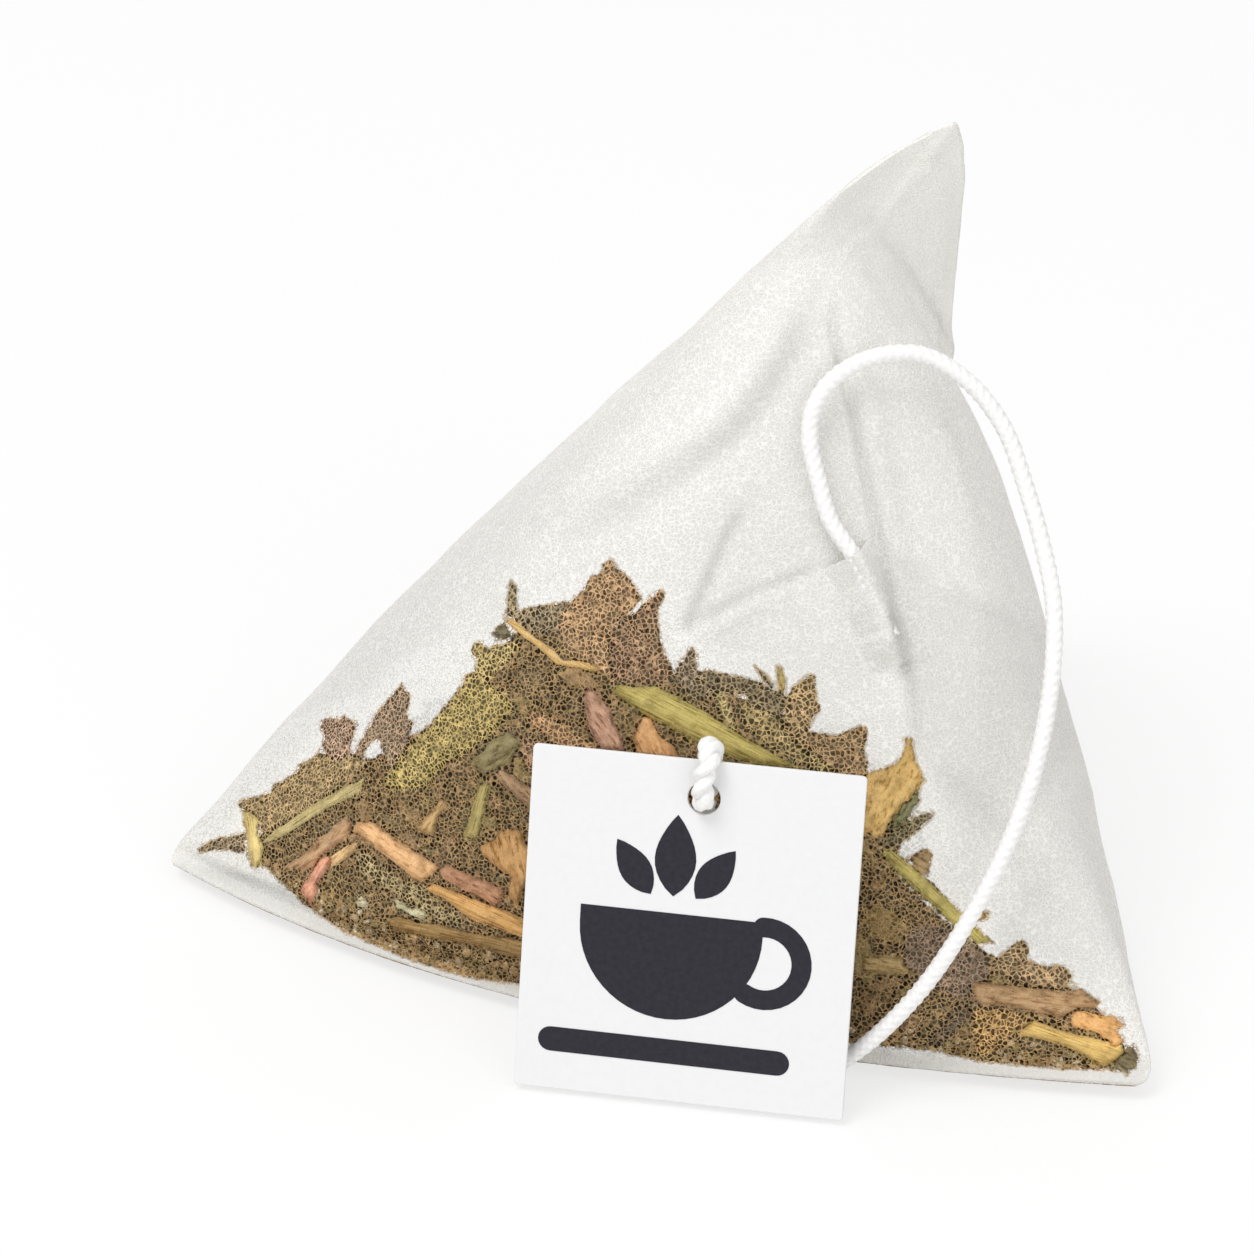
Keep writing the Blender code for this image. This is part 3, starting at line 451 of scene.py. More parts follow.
# Soft and sharp lines of shade: the line, half width in pixels, how much darker, and which ends fade.
SHADE_LINES = (
    ([(826, 290), (814, 312), (791, 358), (761, 404), (696, 465), (638, 504), (529, 558)], 15, 0.10, (1, 1)),
    ([(790, 300), (750, 370), (690, 425), (600, 487)], 16, -0.04, (1, 1)),
    ([(838, 268), (836, 330), (840, 362), (849, 404), (864, 465), (879, 527), (893, 620)], 6, 0.13, (1, 0)),
    ([(893, 620), (912, 690), (924, 781)], 6, 0.12, (0, 1)),
    ([(870, 402), (893, 500), (905, 600)], 14, 0.05, (1, 1)),
    ([(892, 250), (914, 280), (946, 326), (968, 368)], 6, 0.12, (1, 1)),
    ([(688, 626), (712, 566), (726, 530), (753, 492)], 8, 0.13, (0, 1)),
    ([(688, 622), (753, 588), (830, 563)], 5, 0.11, (0, 1)),
    ([(925, 760), (980, 815), (1021, 855), (1062, 909)], 20, 0.08, (1, 1)),
    ([(944, 588), (1000, 612), (1045, 631)], 8, 0.05, (1, 1)),
    ([(958, 130), (916, 182), (880, 228)], 8, 0.05, (0, 1)),
    ([(953, 122), (914, 171), (876, 220), (849, 251)], 5, -0.10, (0, 1)),
    ([(845, 262), (820, 300), (800, 345)], 7, -0.05, (1, 1)),
    ([(840, 565), (880, 625), (898, 680), (903, 730)], 14, -0.05, (1, 1)),
    ([(948, 150), (952, 230), (940, 310)], 9, 0.03, (1, 1)),
    ([(330, 720), (420, 630), (500, 560), (600, 470)], 12, 0.05, (1, 1)),
    ([(170, 862), (230, 850), (300, 838)], 7, 0.06, (1, 1)),
    ([(180, 866), (250, 880), (330, 905)], 6, 0.06, (1, 1)),
)


def shade_of(places):
    """How much painted shade darkens the cloth at places in the picture."""
    shade = np.zeros(len(places))
    for outline, softness, amount in PAINTED_SHADE_ZONES:
        shade += amount * smooth(0.5 + inside_outline(places, outline) / softness / 2)
    for line, half, amount, fades in SHADE_LINES:
        off, share = line_offsets(places, line)
        strength = np.exp(-((off / half) ** 2) * 1.3)
        if fades[0]:
            strength *= smooth(share / 0.25)
        if fades[1]:
            strength *= smooth((1 - share) / 0.25)
        shade += amount * strength
    return shade


def inside_outline(places, outline):
    """Distance from each place to an outline: positive inside."""
    line = np.array([*outline, outline[0]], float)
    off, _ = line_offsets(places, line)
    x, y = places[:, 0], places[:, 1]
    inside = np.zeros(len(places), bool)
    for (x0, y0), (x1, y1) in zip(line, line[1:]):
        if y0 == y1:
            continue
        crosses = (y0 > y) != (y1 > y)
        inside ^= crosses & (x < (x1 - x0) * (y - y0) / (y1 - y0) + x0)
    return np.abs(off) * np.where(inside, 1, -1)


NET_SCALE = 3.7  # cells of the net to a millimetre


def nonwoven(name):
    """White heat-set fibres in a fine net of cells, sheer where herbs lie against it."""
    n = Nodes(name)
    shade = n.add("ShaderNodeAttribute", {"attribute_name": "shade"}).outputs["Fac"]
    touch = n.add("ShaderNodeAttribute", {"attribute_name": "touch"}).outputs["Fac"]
    seal = n.add("ShaderNodeAttribute", {"attribute_name": "seal"}).outputs["Fac"]
    edge = n.add("ShaderNodeAttribute", {"attribute_name": "loaded"}).outputs["Fac"]
    space = n.object_space((1000, 1000, 1000))
    fray = n.add("ShaderNodeTexNoise", {}, Vector=space, Scale=2.6, Detail=1.0)
    edge = n.math("ADD", edge, n.math("MULTIPLY", n.math("SUBTRACT", fray.outputs[0], 0.5), 0.22))
    loaded = n.ramp(edge, (0.45, 0.0), (0.55, 1.0))
    warp = n.add("ShaderNodeTexNoise", {"noise_dimensions": "3D"}, Vector=space, Scale=1.1, Detail=2.0)
    warped = n.add("ShaderNodeVectorMath", {"operation": "MULTIPLY_ADD"})
    n.put(warped, "0", warp.outputs["Color"])
    n.put(warped, "1", (0.35, 0.35, 0.35))
    n.put(warped, "2", space)
    cells = n.add(
        "ShaderNodeTexVoronoi", {"feature": "DISTANCE_TO_EDGE"}, Vector=warped.outputs[0], Scale=NET_SCALE
    )
    small = n.add("ShaderNodeTexNoise", {}, Vector=space, Scale=6.0, Detail=3.0)
    patches = n.add("ShaderNodeTexNoise", {}, Vector=space, Scale=0.9, Detail=2.0)
    fibre = n.ramp(cells.outputs["Distance"], (0.05, 1.0), (0.18, 0.0), ease="EASE")
    wall = n.math("MULTIPLY", fibre, n.ramp(small.outputs[0], (0.30, 0.60), (0.62, 1.0)))
    uneven = n.ramp(patches.outputs[0], (0.3, -0.04), (0.7, 0.06))
    dense = n.math("ADD", n.math("MULTIPLY", wall, EMPTY_COVER[1]), EMPTY_COVER[0])
    sheer = n.math("ADD", n.math("MULTIPLY", wall, LOADED_COVER[1]), LOADED_COVER[0])
    share = n.add("ShaderNodeMix", {"data_type": "FLOAT"})
    n.put(share, "0", loaded)
    n.put(share, "2", n.math("ADD", dense, uneven))
    n.put(share, "3", n.math("MULTIPLY", sheer, n.math("SUBTRACT", 1.0, n.math("MULTIPLY", touch, 0.8))))
    cover = n.math("ADD", share.outputs[0], n.math("MULTIPLY", seal, 0.25), clamp=True)
    # Painted shade: the shade attribute darkens the cloth's white.
    pale = n.math("SUBTRACT", 1.0, shade)
    level = n.add("ShaderNodeCombineColor", {}, Red=pale, Green=pale, Blue=n.math("SUBTRACT", pale, 0.01))
    white = n.mix(1.0, CLOTH_WHITE, level.outputs[0], "MULTIPLY")
    # Painted bounce light: over herbs the fibres take the herb colour of the tint attribute, varied by noise.
    tint = n.add("ShaderNodeAttribute", {"attribute_name": "tint"}).outputs["Color"]
    blend = n.add("ShaderNodeTexNoise", {}, Vector=space, Scale=1.9, Detail=4.0, Roughness=0.65)
    tint = n.mix(1.0, tint, n.math("ADD", n.math("MULTIPLY", blend.outputs[0], 2.4), -0.2), "MULTIPLY")
    white = n.mix(loaded, white, tint)
    bump = n.add("ShaderNodeBump", {}, Strength=0.5, Distance=0.00006, Height=wall)
    fibres = n.add("ShaderNodeBsdfPrincipled", {}, Base_Color=white, Roughness=0.8, Normal=bump)
    fibres.inputs["Specular IOR Level"].default_value = 0.2
    through = n.add("ShaderNodeBsdfTranslucent", {}, Color=white, Normal=bump)
    cloth = n.add("ShaderNodeMixShader", {"label": "cloth"})
    cloth.inputs[0].default_value = 0.18
    n.tree.links.new(fibres.outputs[0], cloth.inputs[1])
    n.tree.links.new(through.outputs[0], cloth.inputs[2])
    clear = n.add("ShaderNodeBsdfTransparent")
    mixed = n.add("ShaderNodeMixShader")
    n.put(mixed, "0", cover)
    n.tree.links.new(clear.outputs[0], mixed.inputs[1])
    n.tree.links.new(cloth.outputs[0], mixed.inputs[2])
    return n.surface(mixed)


def set_attribute(obj, name, values):
    attribute = obj.data.attributes.new(name, "FLOAT", "POINT")
    attribute.data.foreach_set("value", np.asarray(values, np.float32))


def make_cloth():
    points, normals, shares, turns = fine_cloth()
    rows = len(shares)
    faces = []
    for i in range(rows - 1):
        for j in range(FINE_AROUND):
            k = (j + 1) % FINE_AROUND
            low, high = i * FINE_AROUND, (i + 1) * FINE_AROUND
            faces.append((low + j, low + k, high + k, high + j))
    first = list(range(FINE_AROUND))
    last = [(rows - 1) * FINE_AROUND + j for j in range(FINE_AROUND)]
    faces += slot_faces(first, 0) + [f[::-1] for f in slot_faces(last, FINE_AROUND // 4)]
    flat = points.reshape(-1, 3)
    obj = mesh_object("bag_cloth", row(flat), faces)
    outward_faces(obj)
    facing = smooth(((normals.reshape(-1, 3) @ CAM_BACK) - 0.02) / 0.1)
    places = pixels(flat)
    # Painted shade, on the faces turned to the camera.
    set_attribute(obj, "shade", shade_of(places) * facing)
    v = np.repeat(shares, FINE_AROUND)
    set_attribute(obj, "seal", smooth(1 - (np.minimum(v, 1 - v) - 0.012) / 0.008))
    return keep(obj, nonwoven("nonwoven"), "cloth", "bag")


# String

STRING_RADIUS = 0.5
STRING_ROUTE = (
    (13.6, 4.2, 24.8), (12.4, 4.4, 26.7), (11.2, 4.8, 28.9), (9.4, 5.1, 31.1), (8.4, 5.7, 33.2),
    (7.6, 6.4, 35.3), (7.5, 7.1, 36.8), (8.2, 8.2, 38.3), (9.9, 10.0, 39.2), (12.4, 11.6, 39.1),
    (15.0, 12.2, 37.6), (17.3, 12.0, 35.2), (19.0, 11.0, 32.4), (20.6, 9.6, 29.6), (22.0, 7.8, 26.8),
    (22.8, 5.4, 23.4), (22.9, 3.0, 19.6), (22.3, 0.6, 15.6), (20.9, -2.0, 11.4), (18.8, -4.3, 7.2),
    (16.0, -5.9, 3.6), (13.2, -6.9, 1.4), (10.4, -7.5, 0.8), (7.8, -7.6, 1.5), (6.0, -7.0, 3.6),
    (5.2, -6.1, 6.8), (5.1, -5.2, 10.2), (5.25, -4.6, 12.8), (5.35, -4.13, 14.8), (5.48, -3.65, 16.5),
)


def natural_curve(route, count, cyclic=False):
    """Points at even distances on a smooth curve through the route."""
    route = [np.array(point, float) for point in route]
    if cyclic:
        route = [route[-1], *route, route[0], route[1]]
    else:
        route = [2 * route[0] - route[1], *route, 2 * route[-1] - route[-2]]
    fine = []
    for p0, p1, p2, p3 in zip(route, route[1:], route[2:], route[3:]):
        spans = [np.linalg.norm(step) ** 0.5 for step in (p1 - p0, p2 - p1, p3 - p2)]
        t0, t1, t2, t3 = np.cumsum([0, *spans])
        for t in np.linspace(t1, t2, 24, endpoint=False):
            a1 = (t1 - t) / (t1 - t0) * p0 + (t - t0) / (t1 - t0) * p1
            a2 = (t2 - t) / (t2 - t1) * p1 + (t - t1) / (t2 - t1) * p2
            a3 = (t3 - t) / (t3 - t2) * p2 + (t - t2) / (t3 - t2) * p3
            b1 = (t2 - t) / (t2 - t0) * a1 + (t - t0) / (t2 - t0) * a2
            b2 = (t3 - t) / (t3 - t1) * a2 + (t - t1) / (t3 - t1) * a3
            fine.append((t2 - t) / (t2 - t1) * b1 + (t - t1) / (t2 - t1) * b2)
    fine.append(route[-2])
    fine = np.array(fine)
    run = np.concatenate([[0], np.cumsum(np.linalg.norm(np.diff(fine, axis=0), axis=1))])
    stops = np.linspace(0, run[-1], count + 1 if cyclic else count)[:count]
    return np.stack([np.interp(stops, run, fine[:, axis]) for axis in range(3)], 1), run[-1]


def carried_frames(path, cyclic=False):
    """Two directions across the path at each point, without twist."""
    ahead = np.roll(path, -1, 0) - np.roll(path, 1, 0)
    if not cyclic:
        ahead[0], ahead[-1] = path[1] - path[0], path[-1] - path[-2]
    ahead /= np.linalg.norm(ahead, axis=1, keepdims=True)
    side = np.cross(ahead[0], (0.3, 0.5, 0.8))
    sides = []
    for direction in ahead:
        side = side - direction * (side @ direction)
        side /= np.linalg.norm(side)
        sides.append(side)
    sides = np.array(sides)
    return sides, np.cross(ahead, sides)


def swept(name, path, radius_at, sides=20, cyclic=False):
    """Mesh around a path (millimetres) whose radius follows radius_at(distance, angle)."""
    across, up = carried_frames(path, cyclic)
    run = np.concatenate([[0], np.cumsum(np.linalg.norm(np.diff(path, axis=0), axis=1))])
    angles = np.arange(sides) * 2 * math.pi / sides
    points, faces = [], []
    for i, centre in enumerate(path):
        for a in angles:
            r = radius_at(run[i], a)
            points.append(centre + (across[i] * math.cos(a) + up[i] * math.sin(a)) * r)
    count = len(path)
    for i in range(count if cyclic else count - 1):
        for j in range(sides):
            k = (j + 1) % sides
            m = (i + 1) % count
            faces.append((i * sides + j, i * sides + k, m * sides + k, m * sides + j))
    if not cyclic:
        faces.append(tuple(range(sides))[::-1])
        faces.append(tuple((count - 1) * sides + j for j in range(sides)))
    return mesh_object(name, row(np.array(points)), faces)


def cotton(name):
    n = Nodes(name)
    space = n.object_space((1000, 1000, 1000))
    fibres = n.add("ShaderNodeTexNoise", {}, Vector=space, Scale=5.0, Detail=5.0, Roughness=0.65)
    soft = n.add("ShaderNodeTexNoise", {}, Vector=space, Scale=1.2, Detail=2.0)
    colour = n.ramp(fibres.outputs[0], (0.25, (0.80, 0.79, 0.77)), (0.6, (0.95, 0.95, 0.945)))
    colour = n.mix(n.ramp(soft.outputs[0], (0.35, 0.0), (0.7, 0.25)), colour, (0.90, 0.895, 0.885))
    bump = n.add("ShaderNodeBump", {}, Strength=0.4, Distance=0.00006, Height=fibres.outputs[0])
    # Painted shade: the string's colour darker where its surface turns away from the camera, at its edges.
    edge = n.add("ShaderNodeLayerWeight", {}, Blend=0.35)
    colour = n.mix(n.math("MULTIPLY", edge.outputs["Facing"], 0.5), colour, (0.74, 0.72, 0.69))
    shader = n.add("ShaderNodeBsdfPrincipled", {}, Base_Color=colour, Roughness=0.85, Normal=bump)
    shader.inputs["Specular IOR Level"].default_value = 0.2
    return n.surface(shader)


STRANDS, PITCH = 4, 2.4


def yarn_radius(run, angle):
    """Twisted strands with shallow grooves between them."""
    twist = STRANDS * (angle - 2 * math.pi * run / PITCH)
    counter = STRANDS * (angle + 2 * math.pi * run / (PITCH * 0.9))
    return STRING_RADIUS * (0.96 + 0.065 * math.cos(twist) + 0.03 * math.cos(counter))


def make_string(material):
    path, length = natural_curve(STRING_ROUTE, 930)
    obj = swept("cotton_string", path, yarn_radius, 24)
    keep(obj, material, "cotton", "string")
    return obj, path, length


SLEEVE_LENGTH, SLEEVE_BEYOND, SLEEVE_HALF = 5.4, 2.4, 2.1
SLEEVE_ROOM, SLEEVE_SPREAD, SLEEVE_BURIED = 0.68, 0.95, 0.14


def sheet_faces(rows, count):
    """Faces of a thin sheet: rows of points for its outer side, then the same for its inner side."""
    quads = [(i * count + j, i * count + j + 1, (i + 1) * count + j + 1, (i + 1) * count + j)
             for i in range(rows - 1) for j in range(count - 1)]
    rim = list(range(count)) + [i * count + count - 1 for i in range(1, rows)]
    rim += [(rows - 1) * count + j for j in range(count - 2, -1, -1)]
    rim += [i * count for i in range(rows - 2, 0, -1)]
    total = rows * count
    faces = quads + [tuple(total + i for i in face[::-1]) for face in quads]
    for a, b in zip(rim, rim[1:] + rim[:1]):
        faces.append((a, total + a, total + b, b))
    return faces


def make_sleeve(cloth_tree, path):
    """Cloth over the welded end of the string: a low tunnel that opens where the string comes out."""
    run = np.concatenate([[0], np.cumsum(np.linalg.norm(np.diff(path, axis=0), axis=1))])
    ahead = (path[20] - path[0]) / np.linalg.norm(path[20] - path[0])
    stops = np.linspace(-SLEEVE_BEYOND, SLEEVE_LENGTH, 40)
    offs = np.linspace(-SLEEVE_HALF, SLEEVE_HALF, 36)
    centres = []
    for stop in stops:
        spot = np.array([np.interp(max(stop, 0), run, path[:, k]) for k in range(3)])
        centres.append(spot + ahead * min(stop, 0))
    nearest = [cloth_tree.find_nearest(Vector(centre)) for centre in centres]
    out = np.mean([np.array(hit[1]) * np.sign(np.array(hit[1]) @ CAM_BACK) for hit in nearest], 0)
    out /= np.linalg.norm(out)
    outer = []
    for i, (centre, hit, stop) in enumerate(zip(centres, nearest, stops)):
        way = centres[min(i + 1, len(stops) - 1)] - centres[max(i - 1, 0)]
        side = np.cross(way, out)
        side = side / np.linalg.norm(side) * np.sign(np.cross(way, out) @ CAM_RIGHT)
        end = smooth((stop + SLEEVE_BEYOND) / SLEEVE_BEYOND)
        rise = (max((centre - np.array(hit[0])) @ out, 0.4) + SLEEVE_ROOM) * end
        for off in offs:
            held = np.array(hit[0]) + side * off
            cloth_spot = np.array(cloth_tree.find_nearest(Vector(held))[0]) - out * SLEEVE_BURIED
            free = held + out * rise * math.exp(-((off / SLEEVE_SPREAD) ** 2))
            share = smooth((SLEEVE_HALF - abs(off)) / 1.1) * smooth((stop + SLEEVE_BEYOND) / 1.4)
            outer.append(cloth_spot + (free - cloth_spot) * share)
    outer = np.array(outer)
    faces = sheet_faces(len(stops), len(offs))
    obj = mesh_object("string_sleeve", row(np.vstack([outer, outer - out * 0.05])), faces)
    outward_faces(obj)
    # Painted shade, as on the cloth around it.
    set_attribute(obj, "shade", shade_of(np.vstack([pixels(outer), pixels(outer)])))
    return obj


# Tag

TAG_WIDTH, TAG_HEIGHT, TAG_THICKNESS, TAG_CORNER = 19.2, 20.3, 0.3, 0.25
TAG_FOOT = (-2.95, -12.6)
TAG_YAW, TAG_LEAN = math.radians(11.1), math.radians(19.0)
HOLE_RADIUS, HOLE_DROP, HOLE_SIDE = 0.95, 2.2, 0.4
FLOOR_CLEARANCE = 0.3


def tag_axes():
    along = np.array((math.cos(TAG_YAW), math.sin(TAG_YAW), 0))
    back = np.array((-math.sin(TAG_YAW), math.cos(TAG_YAW), 0))
    rise = np.array((0, 0, math.cos(TAG_LEAN))) + back * math.sin(TAG_LEAN)
    return along, rise, np.cross(along, rise)


def on_tag(x, y, out=0.0):
    """Point on the tag (design frame): x along its lower edge, y up it, out of its front."""
    along, rise, front = tag_axes()
    lift = TAG_THICKNESS / 2 * math.sin(TAG_LEAN) + FLOOR_CLEARANCE
    return np.array((*TAG_FOOT, lift)) + along * x + rise * y + front * out


def tag_matrix(out=0.0):
    along, rise, front = tag_axes()
    axes = Matrix(np.stack([along, rise, front], 1).tolist()).to_4x4()
    return Matrix.Translation(row(on_tag(0, 0, out))) @ axes


def flat_curve(name, outlines, half_thickness, bevel, out):
    """Flat piece on the tag from closed outlines (millimetres); an outline inside another is a hole."""
    curve = bpy.data.curves.new(name, "CURVE")
    curve.dimensions = "2D"
    curve.fill_mode = "BOTH"
    curve.extrude = half_thickness * MM
    curve.bevel_depth = bevel * MM
    curve.bevel_resolution = 1
    curve.offset = -bevel * MM
    for outline in outlines:
        spline = curve.splines.new("POLY")
        spline.points.add(len(outline) - 1)
        for target, (x, y) in zip(spline.points, outline):
            target.co = (x * MM, y * MM, 0, 1)
        spline.use_cyclic_u = True
    obj = bpy.data.objects.new(name, curve)
    bpy.context.scene.collection.objects.link(obj)
    obj.matrix_world = tag_matrix(out)
    return obj


def arc(x, y, radius, start, end, steps):
    angles = [math.radians(start + (end - start) * i / steps) for i in range(steps + 1)]
    return [(x + radius * math.cos(a), y + radius * math.sin(a)) for a in angles]


def card_material():
    n = Nodes("card")
    space = n.object_space((1000, 1000, 1000))
    pulp = n.add("ShaderNodeTexNoise", {}, Vector=space, Scale=2.2, Detail=6.0, Roughness=0.6)
    mottle = n.add("ShaderNodeTexNoise", {}, Vector=space, Scale=0.25, Detail=2.0)
    colour = n.ramp(pulp.outputs[0], (0.3, (0.808, 0.808, 0.810)), (0.7, (0.832, 0.832, 0.834)))
    colour = n.mix(n.ramp(mottle.outputs[0], (0.4, 0.0), (0.7, 0.3)), colour, (0.813, 0.813, 0.816))
    bump = n.add("ShaderNodeBump", {}, Strength=0.12, Distance=0.00002, Height=pulp.outputs[0])
    shader = n.add("ShaderNodeBsdfPrincipled", {}, Base_Color=colour, Roughness=0.6, Normal=bump)
    shader.inputs["Specular IOR Level"].default_value = 0.3
    return n.surface(shader)


def ink_material():
    n = Nodes("ink")
    space = n.object_space((1000, 1000, 1000))
    fleck = n.add("ShaderNodeTexNoise", {}, Vector=space, Scale=3.0, Detail=5.0)
    colour = n.ramp(fleck.outputs[0], (0.3, (0.020, 0.018, 0.026)), (0.75, (0.030, 0.028, 0.038)))
    shader = n.add("ShaderNodeBsdfPrincipled", {}, Base_Color=colour, Roughness=0.65)
    shader.inputs["Specular IOR Level"].default_value = 0.25
    return n.surface(shader)


def make_tag():
    rng = random.Random(5)
    w, h, r = TAG_WIDTH, TAG_HEIGHT, TAG_CORNER
    teeth = []
    count = 84
    for i in range(1, count):
        teeth.append((r + (w - 2 * r) * i / count, (0.05 if i % 2 else 0.0) + rng.uniform(-0.012, 0.012)))
    outline = [*arc(r, r, r, 180, 270, 3), *teeth, *arc(w - r, r, r, -90, 0, 3)]
    outline += [*arc(w - r, h - r, r, 0, 90, 3), *arc(r, h - r, r, 90, 180, 3)]
    hole = arc(w / 2 + HOLE_SIDE, h - HOLE_DROP, HOLE_RADIUS, 0, 350, 35)
    tag = flat_curve("tag_card", [outline, hole], TAG_THICKNESS / 2 - 0.04, 0.04, 0)
    keep(tag, card_material(), "card", "tag")
    return tag


def stroke(points, width, closed=False, steps=10):
    """Outline of an even stroke with round ends along a bent line."""
    pts = np.array(points, float)
    ahead = np.gradient(pts, axis=0)
    if closed:
        ahead = np.roll(pts, -1, 0) - np.roll(pts, 1, 0)
    ahead /= np.linalg.norm(ahead, axis=1, keepdims=True)
    side = np.stack([-ahead[:, 1], ahead[:, 0]], 1) * width / 2
    if closed:
        return [[tuple(p) for p in pts + side], [tuple(p) for p in pts - side]]
    left, right = pts + side, (pts - side)[::-1]
    end = math.degrees(math.atan2(*ahead[-1][::-1]))
    start = math.degrees(math.atan2(*ahead[0][::-1]))
    tip = arc(*pts[-1], width / 2, end + 90, end - 90, steps)[1:-1]
    tail = arc(*pts[0], width / 2, start - 90, start - 270, steps)[1:-1]
    return [[*map(tuple, left), *tip, *map(tuple, right), *tail]]


def leaf_outline(x, y, length, lean):
    """Pointed leaf that grows from a place at an angle in degrees."""
    ahead = np.array((math.cos(math.radians(lean)), math.sin(math.radians(lean))))
    side = np.array((-ahead[1], ahead[0]))
    halves = []
    for t in np.linspace(0.001, 0.999, 12):
        halves.append((t, 0.26 * length * math.sin(math.pi * t) ** 0.8 * (1.15 - 0.4 * t)))
    left = [ahead * length * t + side * wide for t, wide in halves]
    right = [ahead * length * t - side * wide for t, wide in reversed(halves)]
    return [(x + p[0], y + p[1]) for p in left + right]


def make_print():
    """Generic picture of a cup on a saucer with three leaves over it, in bold shapes."""
    cx, base, bold = 8.6, 3.2, 1.45
    cup = [(cx - 5.3, base + 7.0), *arc(cx, base + 7.0, 5.3, 180, 360, 28)[1:]]
    body = [*cup, (cx + 5.3, base + 8.0), (cx - 5.3, base + 8.0)]
    handle = arc(cx + 5.5, base + 5.6, 2.15, 95, -120, 20)
    saucer = [(cx - 6.6 + 13.2 * i / 20, base - 0.2) for i in range(21)]
    shapes = [body, *stroke(handle, bold * 0.8), *stroke(saucer, bold)]
    for shift, tall, lean in ((-1.3, 3.7, 125), (0.0, 4.8, 90), (1.3, 3.7, 55)):
        shapes.append(leaf_outline(cx + shift, base + 9.0, tall, lean))
    obj = flat_curve("tag_print", shapes[:1] + shapes[2:], 0.006, 0, TAG_THICKNESS / 2 + 0.014)
    ear = flat_curve("tag_print_handle", shapes[1:2], 0.006, 0, TAG_THICKNESS / 2 + 0.012)
    material = ink_material()
    for piece in (obj, ear):
        keep(piece, material, "card")


LOOP_TURNS, LOOP_STRAND, LOOP_APART = 4, 0.36, 0.56  # twist of its two strands, their radius and distance


def make_knot(material):
    """Loop through the hole and over the upper edge, doubled and lumpy, with a knot behind."""
    x, y = TAG_WIDTH / 2 + HOLE_SIDE, TAG_HEIGHT - HOLE_DROP
    clear = TAG_THICKNESS / 2 + 0.62
    top = TAG_HEIGHT + 0.62
    loop = [
        (x, y - 0.15, 0.0), (x, y + 0.2, clear), (x + 0.05, (y + top) / 2, clear + 0.1),
        (x + 0.25, top - 0.3, clear), (x + 0.2, top + 0.1, 0.0), (x + 0.1, top - 0.35, -clear),
        (x, (y + top) / 2, -clear - 0.25), (x, y + 0.25, -clear),
    ]
    path, length = natural_curve([on_tag(*p) for p in loop], 240, cyclic=True)
    behind = on_tag(*loop[6])
    across, up = carried_frames(path, cyclic=True)
    turns = np.linspace(0, 2 * math.pi * LOOP_TURNS, len(path), endpoint=False)[:, None]

    def radius(run, angle):
        spot = path[int(run / length * len(path)) % len(path)]
        lump = noise.noise(Vector(spot) * 1.6 + Vector((math.cos(angle), math.sin(angle), 3)) * 0.8)
        knot = math.exp(-((np.linalg.norm(spot - behind) / 0.75) ** 2))
        yarn = 0.07 * math.cos(3 * angle - run * 5) + 0.03 * math.cos(7 * angle + run * 9)
        return LOOP_STRAND * (1 + 0.14 * lump + yarn) + 0.16 * knot

    strands = []
    for start in (0, math.pi):
        off = across * np.cos(turns + start) + up * np.sin(turns + start)
        obj = swept(f"string_loop_{len(strands) + 1}", path + off * LOOP_APART / 2, radius, 24, cyclic=True)
        strands.append(keep(obj, material, "cotton", "string_knot"))
    return strands


# Herbs

PIXELS_PER_MM = 17.2
FINEST = 2.6  # between points of a piece, pixels
BRIGHTEST = 0.97
LOWEST = 0.2  # of the herbs over the floor, millimetres
CLEAR_OF_CLOTH = 0.12
BETWEEN_PIECES = 0.06
NEAR_PAINTED_LIGHT, FAR_PAINTED_SHADE = 1.48, 0.36  # painted light: colour gain of a piece that presses on the cloth; painted shade: of one farther behind it
NEAREST_DEPTH = 0.6  # at most, of a piece that presses on the cloth

